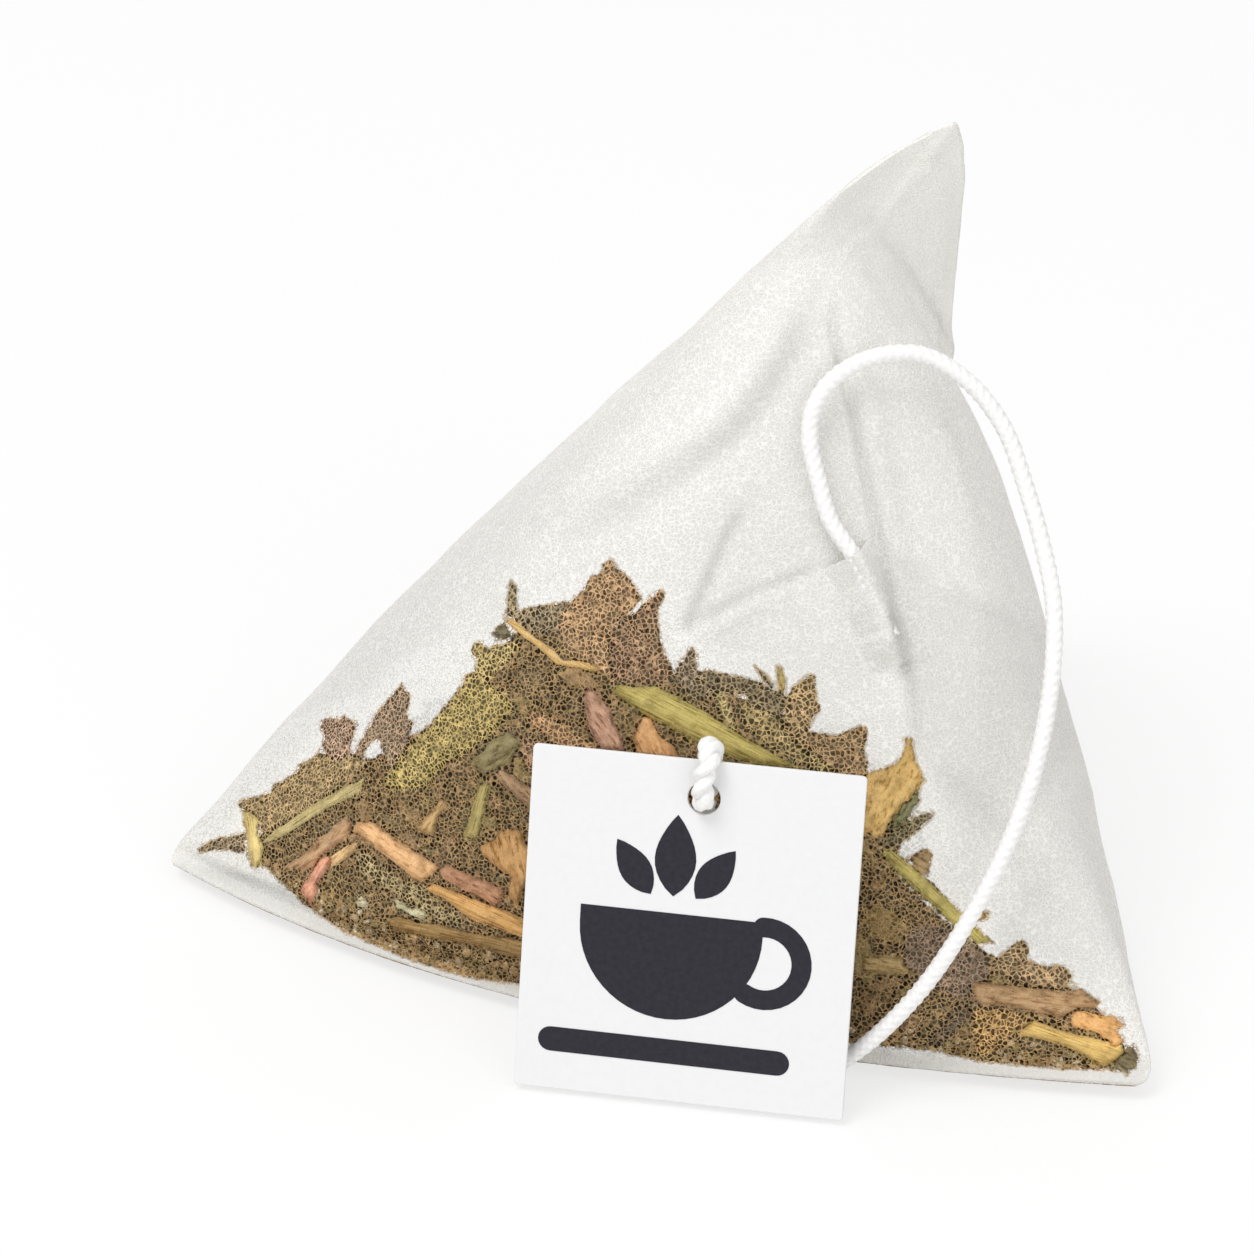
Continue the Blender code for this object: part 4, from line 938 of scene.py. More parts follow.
# Each piece: kind, slot, lie of the grain in the picture (degrees, clockwise), colour and outline there.
HERBS = {
    "orange_stick": ("chip", "orange_root", 35, (246, 192, 132), [
        (357, 822), (371, 821), (400, 841), (439, 867), (433, 874), (420, 883), (385, 856), (353, 831)]),
    "large_olive_stem": ("stem", "olive_stem", -41, (170, 148, 78), [
        (383, 786), (399, 758), (437, 718), (464, 684), (483, 680), (499, 691), (514, 705), (502, 724),
        (476, 747), (447, 762), (424, 787), (410, 789), (391, 789)]),
    "long_olive_stem": ("stem", "olive_stem", 27, (168, 152, 76), [
        (612, 691), (619, 685), (633, 687), (655, 686), (671, 694), (707, 713), (745, 738), (797, 767),
        (760, 765), (713, 753), (688, 738), (659, 722), (640, 713), (628, 704)]),
    "thin_green_stem": ("stem", "green_stem", -32, (184, 168, 114), [
        (262, 843), (272, 833), (295, 817), (314, 804), (343, 788), (364, 779), (361, 792), (333, 805),
        (314, 817), (295, 829), (276, 840)]),
    "pink_chip": ("chip", "pinkish_bark", -59, (222, 156, 126), [
        (301, 889), (310, 875), (318, 862), (327, 856), (331, 860), (327, 870), (318, 883), (316, 894),
        (312, 906), (308, 902), (302, 894)]),
    "brown_chip": ("chip", "brown_leaf", -36, (168, 130, 92), [
        (284, 866), (299, 858), (314, 843), (333, 827), (346, 816), (350, 822), (352, 831), (346, 839),
        (333, 849), (320, 856), (314, 866), (304, 870), (291, 870)]),
    "dark_bark_chip": ("chip", "brown_leaf", 27, (172, 122, 88), [
        (440, 868), (445, 864), (459, 870), (480, 878), (493, 884), (504, 892), (500, 902), (494, 906),
        (483, 899), (466, 891), (449, 882), (441, 877)]),
    "tan_stem": ("stem", "tan_stem", 24, (204, 156, 88), [
        (426, 889), (433, 884), (447, 889), (459, 893), (480, 902), (508, 912), (529, 921), (527, 938),
        (515, 935), (494, 928), (473, 920), (462, 913), (445, 899), (435, 895)]),
    "low_olive_stem": ("stem", "olive_stem", 12, (134, 100, 44), [
        (386, 919), (399, 916), (417, 923), (438, 924), (459, 930), (480, 935), (501, 937), (528, 942),
        (527, 958), (508, 957), (487, 949), (466, 944), (445, 941), (424, 937), (407, 933), (396, 933),
        (388, 924)]),
    "green_sprig": ("leaf", "green_stem", 33, (156, 136, 90), [
        (358, 851), (368, 854), (389, 871), (403, 881), (419, 885), (430, 896), (441, 906), (457, 913),
        (462, 924), (455, 930), (438, 921), (430, 913), (413, 903), (396, 893), (382, 886), (368, 878),
        (358, 865)]),
    "pale_bit": ("chip", "pale_pith", 24, (240, 234, 188), [
        (394, 900), (398, 900), (413, 909), (424, 910), (427, 917), (424, 921), (413, 916), (396, 907)]),
    "pointed_leaf": ("leaf", "brown_leaf", -76, (142, 106, 74), [
        (662, 590), (650, 597), (636, 613), (617, 621), (611, 634), (609, 649), (614, 684), (648, 686),
        (669, 682), (674, 674), (665, 655), (660, 636), (657, 617), (659, 605), (664, 594)]),
    "brown_leaf_peak": ("leaf", "brown_leaf", -62, (168, 130, 88), [
        (610, 559), (604, 565), (603, 573), (592, 576), (585, 588), (571, 603), (558, 620), (564, 655),
        (590, 662), (613, 683), (608, 647), (612, 628), (642, 599), (634, 586), (626, 576), (616, 567)]),
    "bent_tan_twig": ("stem", "tan_stem", 29, (210, 172, 104), [
        (504, 617), (512, 618), (533, 636), (552, 650), (563, 660), (587, 662), (602, 669), (600, 673),
        (581, 669), (556, 664), (543, 652), (525, 638), (508, 624)]),
    "dark_broad_leaf": ("leaf", "dark_leaf", -14, (136, 118, 88), [
        (512, 614), (525, 609), (545, 605), (571, 602), (587, 624), (564, 628), (545, 634), (533, 632),
        (512, 618)]),
    "upright_twig": ("stem", "olive_stem", -88, (140, 122, 86), [
        (509, 585), (512, 582), (516, 586), (517, 611), (512, 618), (507, 615)]),
    "ragged_bits": ("leaf", "olive_stem", -35, (184, 160, 96), [
        (463, 683), (465, 675), (476, 672), (477, 662), (472, 653), (475, 644), (481, 642), (490, 650),
        (496, 644), (506, 645), (514, 640), (521, 647), (499, 670), (487, 679)]),
    "spiked_leaf": ("leaf", "brown_leaf", -58, (152, 124, 98), [
        (353, 755), (366, 732), (378, 712), (386, 702), (394, 694), (402, 684), (409, 695), (409, 705),
        (405, 714), (412, 723), (406, 747), (390, 772), (383, 747), (379, 738), (371, 742), (363, 756)]),
    "lobed_leaf": ("leaf", "brown_leaf", -70, (172, 138, 114), [
        (320, 728), (322, 721), (331, 718), (339, 719), (344, 716), (349, 719), (358, 722), (354, 731),
        (350, 747), (352, 755), (333, 762), (322, 745), (326, 738)]),
    "left_leaf": ("leaf", "brown_leaf", -30, (162, 134, 86), [
        (237, 805), (244, 799), (258, 797), (272, 793), (273, 785), (283, 782), (295, 772), (300, 765),
        (312, 760), (318, 752), (331, 755), (352, 753), (368, 762), (352, 778), (314, 803), (287, 820),
        (264, 835), (257, 818)]),
    "olive_stub": ("stem", "olive_stem", 80, (208, 186, 118), [
        (244, 810), (251, 805), (258, 806), (259, 822), (258, 835), (264, 848), (262, 860), (256, 868),
        (252, 866), (248, 850), (246, 831), (243, 822)]),
    "far_left_sprig": ("leaf", "dark_leaf", -14, (138, 118, 90), [
        (196, 850), (203, 845), (218, 839), (237, 835), (247, 833), (246, 843), (243, 852), (234, 850),
        (214, 850), (201, 852)]),
    "tan_chip": ("chip", "tan_stem", -50, (188, 152, 98), [
        (414, 828), (424, 819), (434, 808), (441, 798), (448, 804), (439, 815), (435, 835), (426, 835)]),
    "green_stem_piece": ("stem", "green_stem", -75, (164, 148, 84), [
        (463, 836), (470, 815), (478, 785), (483, 783), (491, 786), (489, 798), (483, 817), (478, 837),
        (470, 838)]),
    "curled_tan_chip": ("chip", "tan_stem", 78, (180, 134, 76), [
        (502, 829), (522, 831), (525, 843), (535, 852), (534, 870), (522, 894), (517, 910), (508, 894),
        (513, 876), (504, 873), (483, 855), (480, 846), (495, 840)]),
    "brown_chip_behind_tag": ("chip", "brown_leaf", 70, (152, 112, 80), [
        (523, 737), (529, 739), (543, 747), (550, 745), (549, 782), (533, 779), (527, 764), (522, 752)]),
    "brown_leaf_bit": ("leaf", "brown_leaf", 30, (180, 136, 90), [
        (527, 716), (533, 710), (543, 712), (556, 722), (571, 733), (592, 745), (600, 752), (571, 750),
        (552, 741), (543, 731), (531, 724)]),
    "pinkish_chip": ("chip", "pinkish_bark", 55, (174, 132, 108), [
        (583, 699), (586, 689), (592, 688), (600, 699), (610, 708), (615, 724), (623, 739), (625, 752),
        (602, 750), (590, 731), (587, 718)]),
    "orange_tan_chip": ("chip", "orange_root", 60, (206, 154, 98), [
        (632, 737), (637, 724), (644, 716), (651, 718), (655, 727), (663, 739), (675, 747), (680, 760),
        (655, 758), (636, 754)]),
    "small_spike": ("leaf", "dark_leaf", -75, (122, 102, 80), [
        (674, 676), (681, 663), (692, 647), (696, 653), (697, 671), (695, 690), (676, 682)]),
    "yellow_stem_piece": ("stem", "pale_green_stem", 58, (190, 170, 108), [
        (716, 696), (721, 689), (725, 699), (738, 732), (728, 726), (720, 711)]),
    "ridge_leaf": ("leaf", "dark_leaf", 10, (122, 104, 72), [
        (697, 672), (708, 670), (724, 674), (747, 679), (764, 684), (789, 699), (782, 717), (755, 707),
        (743, 696), (722, 692), (697, 701), (680, 686)]),
    "dark_leaf_piece": ("leaf", "dark_leaf", 35, (168, 144, 90), [
        (743, 700), (757, 703), (774, 717), (787, 732), (801, 749), (816, 767), (793, 761), (766, 745),
        (749, 730), (738, 715)]),
    "short_twig": ("stem", "olive_stem", 68, (122, 104, 72), [
        (754, 666), (762, 671), (774, 684), (772, 689), (763, 680)]),
    "peaked_leaf": ("leaf", "brown_leaf", -80, (168, 138, 92), [
        (787, 697), (797, 684), (810, 674), (814, 677), (815, 694), (820, 710), (813, 719), (806, 734),
        (808, 751), (793, 738), (784, 715)]),
    "right_ridge_leaf": ("leaf", "brown_leaf", -10, (150, 118, 76), [
        (804, 735), (820, 734), (837, 736), (848, 732), (862, 725), (867, 727), (865, 745), (863, 778),
        (843, 775), (824, 762), (806, 749)]),
    "olive_stem_tip": ("stem", "olive_stem", 30, (224, 200, 126), [
        (804, 749), (822, 753), (840, 774), (817, 772)]),
    "tall_tan_leaf": ("leaf", "tan_stem", -68, (188, 152, 84), [
        (866, 774), (887, 769), (901, 759), (906, 745), (905, 739), (912, 737), (915, 759), (922, 776),
        (925, 781), (918, 789), (894, 816), (879, 837), (862, 834)]),
    "dark_thin_leaf": ("leaf", "dark_leaf", -30, (96, 86, 52), [
        (879, 843), (894, 831), (914, 818), (932, 811), (933, 817), (917, 831), (902, 842), (887, 849)]),
    "right_green_stem": ("stem", "green_stem", 42, (172, 158, 82), [
        (883, 854), (887, 846), (916, 870), (950, 902), (976, 928), (992, 942), (976, 943), (962, 933),
        (933, 905), (901, 876)]),
    "small_right_leaf": ("leaf", "brown_leaf", 15, (154, 124, 84), [
        (991, 967), (1001, 955), (1015, 943), (1024, 939), (1027, 945), (1027, 960), (1042, 967), (1061, 965),
        (1071, 966), (1072, 972), (1068, 984), (1059, 989), (1030, 982), (1005, 977)]),
    "brown_bark": ("chip", "brown_leaf", 8, (156, 120, 80), [
        (971, 984), (986, 982), (1015, 987), (1044, 989), (1066, 991), (1081, 989), (1089, 994), (1100, 1002),
        (1097, 1007), (1078, 1008), (1061, 1018), (1039, 1013), (1005, 1006), (981, 1006), (974, 999)]),
    "tan_leaf": ("leaf", "tan_stem", 25, (226, 170, 100), [
        (1071, 1018), (1076, 1012), (1090, 1014), (1112, 1016), (1122, 1020), (1124, 1027), (1117, 1030),
        (1125, 1042), (1117, 1047), (1102, 1035), (1085, 1028), (1073, 1028)]),
    "pale_green_stem": ("stem", "pale_green_stem", 18, (204, 170, 92), [
        (1022, 1030), (1034, 1020), (1054, 1028), (1078, 1035), (1102, 1040), (1122, 1045), (1124, 1052),
        (1112, 1064), (1102, 1067), (1088, 1059), (1066, 1047), (1044, 1040), (1017, 1035)]),
    "folded_leaf": ("leaf", "tan_stem", -40, (204, 158, 88), [
        (971, 1011), (981, 1008), (1005, 1011), (1030, 1018), (1039, 1020), (1017, 1033), (996, 1052),
        (981, 1064), (974, 1042)]),
    "purple_leaf": ("leaf", "brown_leaf", 35, (116, 90, 70), [
        (905, 935), (922, 926), (940, 925), (962, 934), (975, 940), (990, 965), (985, 990), (960, 1000),
        (930, 985), (905, 965)]),
    "low_leaf": ("leaf", "brown_leaf", -42, (84, 66, 48), [
        (925, 1050), (933, 1037), (947, 1023), (967, 1006), (976, 999), (974, 1011), (957, 1030),
        (942, 1042)]),
}

# More loose bits that the picture shows beside those pieces.
EXTRA_BITS = (
    ("stem", -40, (206, 170, 116), [(329, 858), (343, 848), (358, 841), (356, 850), (344, 860), (331, 868)]),
    ("chip", 0, (238, 230, 190), [(356, 902), (361, 896), (368, 903), (366, 909), (358, 906)]),
    ("chip", 40, (150, 116, 84), [(495, 773), (502, 771), (514, 775), (523, 783), (541, 794), (541, 810),
                                  (529, 808), (518, 798), (504, 787), (497, 779)]),
    ("leaf", 10, (92, 84, 60), [(491, 634), (504, 622), (514, 638), (504, 640)]),
    ("stem", 80, (166, 144, 84), [(777, 667), (781, 666), (784, 675), (785, 686), (783, 696), (778, 690)]),
    ("leaf", -60, (84, 88, 48), [(889, 812), (898, 792), (917, 790), (920, 800), (905, 822), (894, 830)]),
    ("leaf", 30, (150, 122, 80), [(911, 858), (921, 851), (928, 848), (932, 853), (930, 865), (925, 875),
                                  (916, 870)]),
    ("chip", 20, (170, 140, 90), [(971, 907), (992, 913), (981, 921), (967, 921)]),
    ("leaf", 40, (96, 84, 56), [(1114, 1059), (1127, 1047), (1134, 1046), (1139, 1054), (1136, 1067),
                                (1124, 1076), (1117, 1067)]),
    ("chip", 10, (158, 132, 82), [(862, 956), (886, 955), (914, 962), (916, 972), (890, 976), (862, 973)]),
    ("leaf", -35, (116, 104, 62), [(472, 764), (486, 744), (508, 731), (522, 742), (510, 762), (484, 774)]),
)

# Where herbs lie close together in the picture, without gaps to the cloth behind.
HERB_CORE = [
    (256, 838), (298, 802), (340, 776), (352, 763), (372, 761),
    (392, 748), (412, 738), (432, 724), (470, 690),
    (492, 660), (510, 640), (530, 616), (568, 610), (600, 600), (612, 640), (655, 640), (662, 676),
    (694, 688), (722, 694), (756, 700), (786, 716), (806, 740), (840, 748), (864, 750), (868, 786),
    (908, 780), (905, 812), (898, 850), (893, 872), (905, 885), (935, 915), (965, 940), (990, 955),
    (1030, 974), (1068, 986), (1095, 1006), (1115, 1030), (1128, 1056), (1122, 1070), (1060, 1068),
    (981, 1061), (928, 1049), (860, 1044), (700, 1019), (560, 993), (522, 984), (466, 976), (438, 968),
    (410, 959), (382, 947), (342, 930), (303, 902), (268, 868), (252, 862),
]
EDGE_RANGE = 14.0  # pixels on either side of an outline over which the cloth's mark runs from 0 to 1
# Pieces that press on the cloth, where its net hardly shows.
TOUCHING = (
    "orange_stick", "thin_green_stem", "pink_chip", "tan_stem", "low_olive_stem", "pale_bit", "brown_chip",
    "green_stem_piece", "curled_tan_chip", "long_olive_stem", "bent_tan_twig", "dark_bark_chip", "tan_chip",
    "right_green_stem", "pale_green_stem", "tall_tan_leaf", "orange_tan_chip", "pinkish_chip", "brown_bark",
    "tan_leaf", "olive_stub",
)
BRIGHT_COLOURS = (
    (150, 124, 62), (118, 108, 54), (170, 136, 82), (104, 98, 50), (132, 102, 64), (112, 88, 54),
    (138, 126, 70), (90, 80, 44), (156, 122, 84), (124, 92, 72),
)
# Painted shade: a dark sheet of herbs behind the crumbs over the whole heap outline.
SHADOW_BACKING_COLOUR = (44, 36, 24)
SHADED_CRUMB_COLOURS = (
    (58, 46, 30), (46, 38, 26), (66, 60, 34), (76, 58, 40), (52, 50, 28), (84, 66, 44), (62, 48, 38),
    (92, 76, 46), (40, 34, 24), (72, 68, 38),
)  # behind the net, darkened: painted shade of the deeper herbs
FINE_COLOURS = (
    (232, 224, 200), (150, 120, 78), (120, 112, 66), (100, 78, 54), (198, 168, 120), (88, 86, 52),
    (214, 204, 176), (168, 132, 96), (140, 130, 84),
)


def linear(colour):
    """Screen colour, 0 to 255, as the light it stands for."""
    shares = np.asarray(colour, float) / 255
    return np.where(shares <= 0.04045, shares / 12.92, ((shares + 0.055) / 1.055) ** 2.4)


def lit(colour, gain):
    """The colour with more light, as far as its hue can be kept."""
    light = linear(colour) * gain
    return light * min(1.0, BRIGHTEST / light.max())


def ragged(outline, rough, seed, step=FINEST):
    """The outline with its edges broken up a little, points about a step apart."""
    places = []
    for (x0, y0), (x1, y1) in zip(outline, [*outline[1:], outline[0]]):
        size = math.hypot(x1 - x0, y1 - y0)
        steps = max(1, round(size / step))
        across = np.array((y0 - y1, x1 - x0)) / size
        for i in range(steps):
            place = np.array((x0 + (x1 - x0) * i / steps, y0 + (y1 - y0) * i / steps))
            off = noise.noise(Vector((*place / 9, seed))) + 0.6 * noise.noise(Vector((*place / 3.5, seed)))
            places.append(place + across * off * rough)
    return np.array(places)


def filled(outline, rng, step=FINEST):
    """Points and triangles over an outline, its own points first."""
    low, high = outline.min(0), outline.max(0)
    inner = []
    for i, y in enumerate(np.arange(low[1], high[1], step * 0.87)):
        for x in np.arange(low[0] + (i % 2) * step / 2, high[0], step):
            inner.append((x + rng.uniform(-0.2, 0.2) * step, y + rng.uniform(-0.2, 0.2) * step))
    inner = np.array(inner) if inner else np.zeros((0, 2))
    if len(inner):
        inner = inner[inside_outline(inner, outline) > step * 0.6]
    points = np.vstack([outline, inner])
    rim = [list(range(len(outline)))]
    done = delaunay_2d_cdt([Vector(p) for p in points], [], rim, 1, 1e-4)
    places, triangles = np.array([tuple(p) for p in done[0]]), [tuple(f) for f in done[2]]
    return places, triangles


def relief(kind, places, deep, grain, seed):
    """Height of a piece's front over its back in millimetres, and its grain coordinates."""
    along = np.array((math.cos(math.radians(grain)), math.sin(math.radians(grain))))
    off = (places - places.mean(0)) / PIXELS_PER_MM
    run, across = off @ along, off @ np.array((-along[1], along[0]))
    deep = deep / PIXELS_PER_MM
    half = max(np.percentile(deep, 92), 0.08)

    def rough(long, wide):
        return np.array([noise.noise(Vector((r / long, a / wide, seed))) for r, a in zip(run, across)])

    if kind == "stem":
        round_part = np.sqrt(1 - (1 - np.clip(deep / half, 0, 1)) ** 2)
        height = min(0.8 * half, 0.9) * round_part + 0.07 * rough(3.0, 0.16) + 0.05 * rough(1.0, 0.08)
    elif kind == "chip":
        height = 0.38 * smooth(deep / 0.22) + 0.14 * rough(1.6, 0.5) + 0.08 * rough(0.8, 0.15)
    else:
        rib = 0.14 * np.exp(-((across / 0.11) ** 2))
        height = 0.10 * smooth(deep / 0.12) + 0.20 * rough(1.5, 0.8) + 0.09 * rough(0.45, 0.3) + rib
    height = height - min(height.min(), 0) + 0.05
    return height, np.stack([run, across, np.full(len(run), seed * 7.3)], 1)


class Layers:
    """Front of the cloth as the camera sees it, and how deep the pieces behind it already reach."""

    CELL = 3
    SKIN = 0.25  # kept free before the far side of the bag, millimetres

    def __init__(self, tree):
        self.tree = tree
        self.taken = {}

    def cells(self, places):
        return [tuple(c) for c in np.floor(places / self.CELL).astype(int)]

    def lay(self, places, front, back):
        """Points at these depths behind the cloth, farther in where other pieces lie before them."""
        cells = self.cells(places)
        least = np.array([self.taken.get(cell, 0.0) for cell in cells])
        push = np.maximum(0, np.maximum(least, CLEAR_OF_CLOTH) - front)
        front, back = front + push, np.maximum(back, front) + push
        for cell, depth in zip(cells, back):
            self.taken[cell] = max(self.taken.get(cell, 0.0), depth + BETWEEN_PIECES)
        tops, bottoms = [], []
        for (x, y), near, far in zip(places, front, back):
            ray = pixel_ray(x, y)
            spot, normal, _, _ = self.tree.ray_cast(Vector(CAM_PLACE), Vector(ray))
            if spot is None:
                spot, normal, _, _ = self.tree.find_nearest(Vector(CAM_PLACE + ray * self.reach))
            else:
                self.reach = (spot - Vector(CAM_PLACE)).length
            slope = max(0.4, abs(np.array(normal) @ ray))
            beyond = self.tree.ray_cast(spot + Vector(ray) * self.SKIN, Vector(ray))[3]
            room = max((beyond or 9.0) - self.SKIN, 0.1)
            far = min(far / slope, room)
            near = min(near / slope, far - min(0.1, far / 2))
            tops.append(np.array(spot) + ray * near)
            bottoms.append(np.array(spot) + ray * far)
        return np.array(tops), np.array(bottoms)


def skins(tops, bottoms, triangles, rim):
    """Closed mesh: front, back and the wall between them, above the floor."""
    tops[:, 2] = np.maximum(tops[:, 2], LOWEST + 0.1)
    bottoms[:, 2] = np.maximum(bottoms[:, 2], LOWEST)
    count = len(tops)
    faces = [f[::-1] for f in triangles] + [tuple(count + i for i in f) for f in triangles]
    for i in range(rim):
        j = (i + 1) % rim
        faces.append((i, j, count + j, count + i))
    return np.vstack([tops, bottoms]), faces


def picture_piece(kind, grain, outline, depth, layers, seed, step=FINEST):
    """One piece behind the cloth: points, faces and grain of both skins."""
    rng = random.Random(seed)
    rim = ragged(outline, {"stem": 0.9, "chip": 1.6, "leaf": 3.2}[kind], seed, step)
    places, triangles = filled(rim, rng, step)
    deep = np.maximum(inside_outline(places, rim), 0)
    height, grains = relief(kind, places, deep, grain, seed)
    thick = height.max()
    back = np.full(len(places), depth + thick / 2)
    tops, bottoms = layers.lay(places, back - height, back + 0.25 * height)
    points, faces = skins(tops, bottoms, triangles, len(rim))
    return points, faces, np.vstack([grains, grains])


def node_points(name):
    """Corners of a CAD node's mesh, design frame in millimetres."""
    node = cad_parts[name]
    graph = bpy.context.evaluated_depsgraph_get()
    mesh = node.evaluated_get(graph).to_mesh()
    return np.array([node.matrix_world @ v.co for v in mesh.vertices]) / MM + CENTRE, mesh


def herb_material(name, kind, colour=None, gain=1.0):
    """Dried plant with streaks along its grain. Without a colour it takes the piece's tint attribute: its own
    colour, with the painted light of its gain where there is one.
    """
    n = Nodes(name)
    grain = n.add("ShaderNodeAttribute", {"attribute_name": "grain"}).outputs["Vector"]
    long = {"stem": 0.35, "chip": 0.8, "leaf": 1.3}[kind]
    wide = {"stem": 7.0, "chip": 3.2, "leaf": 3.0}[kind]
    lay = n.add("ShaderNodeMapping", {}, Vector=grain, Scale=(long, wide, 1))
    streak = n.add("ShaderNodeTexNoise", {}, Vector=lay.outputs[0], Scale=1.5, Detail=5.0, Roughness=0.62)
    blotch = n.add("ShaderNodeTexNoise", {}, Vector=grain, Scale=0.9, Detail=3.0, Roughness=0.6)
    speck = n.add("ShaderNodeTexNoise", {}, Vector=grain, Scale=7.0, Detail=2.0)
    if colour is None:
        middle = n.add("ShaderNodeAttribute", {"attribute_name": "tint"}).outputs["Color"]
    else:
        middle = n.add("ShaderNodeRGB").outputs[0]
        # The piece's colour times its gain: painted light near the cloth, painted shade farther behind.
        middle.default_value = (*lit(colour, gain), 1)
    dark = n.mix(1.0, middle, (0.24, 0.20, 0.15), "MULTIPLY")
    light = n.mix(0.36, middle, (1.0, 0.90, 0.62), "SCREEN")
    bright = n.ramp(streak.outputs[0], (0.36, 0.0), (0.66, 1.0))
    tone = n.mix(n.ramp(streak.outputs[0], (0.30, 1.0), (0.50, 0.0)), middle, dark)
    tone = n.mix(n.math("MULTIPLY", bright, 0.6), tone, light)
    tone = n.mix(n.ramp(blotch.outputs[0], (0.50, 0.0), (0.72, 0.55)), tone, dark)
    tone = n.mix(n.ramp(speck.outputs[0], (0.62, 0.0), (0.70, 0.5)), tone, light)
    bump = n.add("ShaderNodeBump", {}, Strength=0.5, Distance=0.00008, Height=streak.outputs[0])
    shader = n.add("ShaderNodeBsdfPrincipled", {}, Base_Color=tone, Roughness=0.75, Normal=bump)
    shader.inputs["Specular IOR Level"].default_value = 0.25
    return n.surface(shader)


def grained(obj, grains, tints=None):
    attribute = obj.data.attributes.new("grain", "FLOAT_VECTOR", "POINT")
    attribute.data.foreach_set("vector", np.asarray(grains, np.float32).ravel())
    if tints is not None:
        tint = obj.data.attributes.new("tint", "FLOAT_COLOR", "POINT")
        shares = np.hstack([np.asarray(tints), np.ones((len(tints), 1))])
        tint.data.foreach_set("color", shares.astype(np.float32).ravel())


def joined(name, pieces, material, slot, *nodes, gain=1.0):
    """One object from several (points, faces, grains, colour)."""
    points, faces, grains, tints, first = [], [], [], [], 0
    for piece_points, piece_faces, piece_grains, colour in pieces:
        points.append(piece_points)
        faces += [tuple(first + i for i in face) for face in piece_faces]
        grains.append(piece_grains)
        # Each tint carries the gain: painted light where the gain is over one.
        tints.append(np.tile(lit(colour, gain), (len(piece_points), 1)))
        first += len(piece_points)
    obj = mesh_object(name, row(np.vstack(points)), faces)
    grained(obj, np.vstack(grains), np.vstack(tints))
    return keep(obj, material, slot, *nodes)


def tree_of(*objects):
    """Search tree over objects of the scene, design frame in millimetres."""
    points, faces = [], []
    for obj in objects:
        first = len(points)
        points += [tuple(np.array(obj.matrix_world @ v.co) / MM + CENTRE) for v in obj.data.vertices]
        faces += [tuple(first + i for i in p.vertices) for p in obj.data.polygons]
    return BVHTree.FromPolygons(points, faces)


def mark_loaded(cloth, herbs):
    """Marks where herbs lie close behind the cloth: by the picture in front, by distance elsewhere."""
    tree = tree_of(*herbs)
    points = np.array([tuple(v.co) for v in cloth.data.vertices]) / MM + CENTRE
    facing = np.array([tuple(v.normal) for v in cloth.data.vertices]) @ CAM_BACK
    share = smooth((facing + 0.02) / 0.1)
    near = np.array([tree.find_nearest(Vector(p))[3] for p in points])
    around = 0.5 + np.clip((3.4 - near) / 3, -0.5, 0.5)
    places, touch = pixels(points), np.zeros(len(points))
    inside = inside_outline(places, HERB_CORE)
    # Painted bounce light: the fibres in front of herbs take a brightened colour of each piece.
    tint = np.tile(linear(CRUMB_BOUNCE_TINT), (len(points), 1))
    shown = [(name, colour, outline) for name, (_, _, _, colour, outline) in HERBS.items()]
    shown += [("bit", colour, outline) for _, _, colour, outline in EXTRA_BITS]
    for name, colour, outline in reversed(shown):
        room = inside_outline(places, outline)
        inside = np.maximum(inside, room)
        cover = smooth(0.5 + room / 6) * share
        fibres = lit(colour, BOUNCE_LIFT) * (1 - PALE_SHARE) + linear(PALE_FIBRES) * PALE_SHARE
        tint += (fibres - tint) * cover[:, None]
        touch *= 1 - cover
        if name in TOUCHING or name == "bit":
            touch += cover
    seen = np.clip(0.5 + (inside + 1.5) / EDGE_RANGE / 2, 0, 1)
    set_attribute(cloth, "loaded", seen * share + around * (1 - share))
    set_attribute(cloth, "touch", touch)
    attribute = cloth.data.attributes.new("tint", "FLOAT_COLOR", "POINT")
    attribute.data.foreach_set("color", np.hstack([tint, np.ones((len(tint), 1))]).astype(np.float32).ravel())


def make_picture_pieces(layers, cloth_tree):
    """The pieces that the picture shows, each behind the cloth where the CAD holds it."""
    materials, made = {}, []
    for seed, (name, (kind, slot, grain, colour, outline)) in enumerate(HERBS.items()):
        spots, _ = node_points(name)
        centre = Vector((spots.min(0) + spots.max(0)) / 2)
        touches = name in TOUCHING
        depth = min(NEAREST_DEPTH if touches else 2.2, cloth_tree.find_nearest(centre)[3])
        points, faces, grains = picture_piece(kind, grain, outline, depth, layers, seed)
        obj = mesh_object(name + "_look", row(points), faces)
        grained(obj, grains)
        key = f"{kind}_{colour[0]}_{colour[1]}_{colour[2]}" + ("_near" if touches else "")
        if key not in materials:
            materials[key] = herb_material(key, kind, colour, NEAR_PAINTED_LIGHT if touches else FAR_PAINTED_SHADE)
        made.append(keep(obj, materials[key], slot, name))
    bits = []
    for seed, (kind, grain, colour, outline) in enumerate(EXTRA_BITS, 100):
        bits.append((*picture_piece(kind, grain, outline, 0.45, layers, seed), colour))
    made.append(joined("loose_bits", bits, herb_material("loose_bits", "chip"), "tan_stem", gain=NEAR_PAINTED_LIGHT))
    return made


def random_outline(rng, x, y, size, slim, turn):
    """Torn outline round a place, longer along its turn."""
    corners = rng.randint(6, 10)
    outline = []
    for i in range(corners):
        a = 2 * math.pi * (i + rng.uniform(-0.3, 0.3)) / corners
        reach = size * rng.uniform(0.65, 1.1)
        along, across = reach * math.cos(a), reach * math.sin(a) * slim
        outline.append((x + along * math.cos(turn) - across * math.sin(turn),
                        y + along * math.sin(turn) + across * math.cos(turn)))
    return outline


CRUMB_TRIES, BRIGHT_TRIES = 1300, 420  # places drawn at random, and how many of them are bright
CRUMB_GRID = 12  # pixels between the places that fill the rest


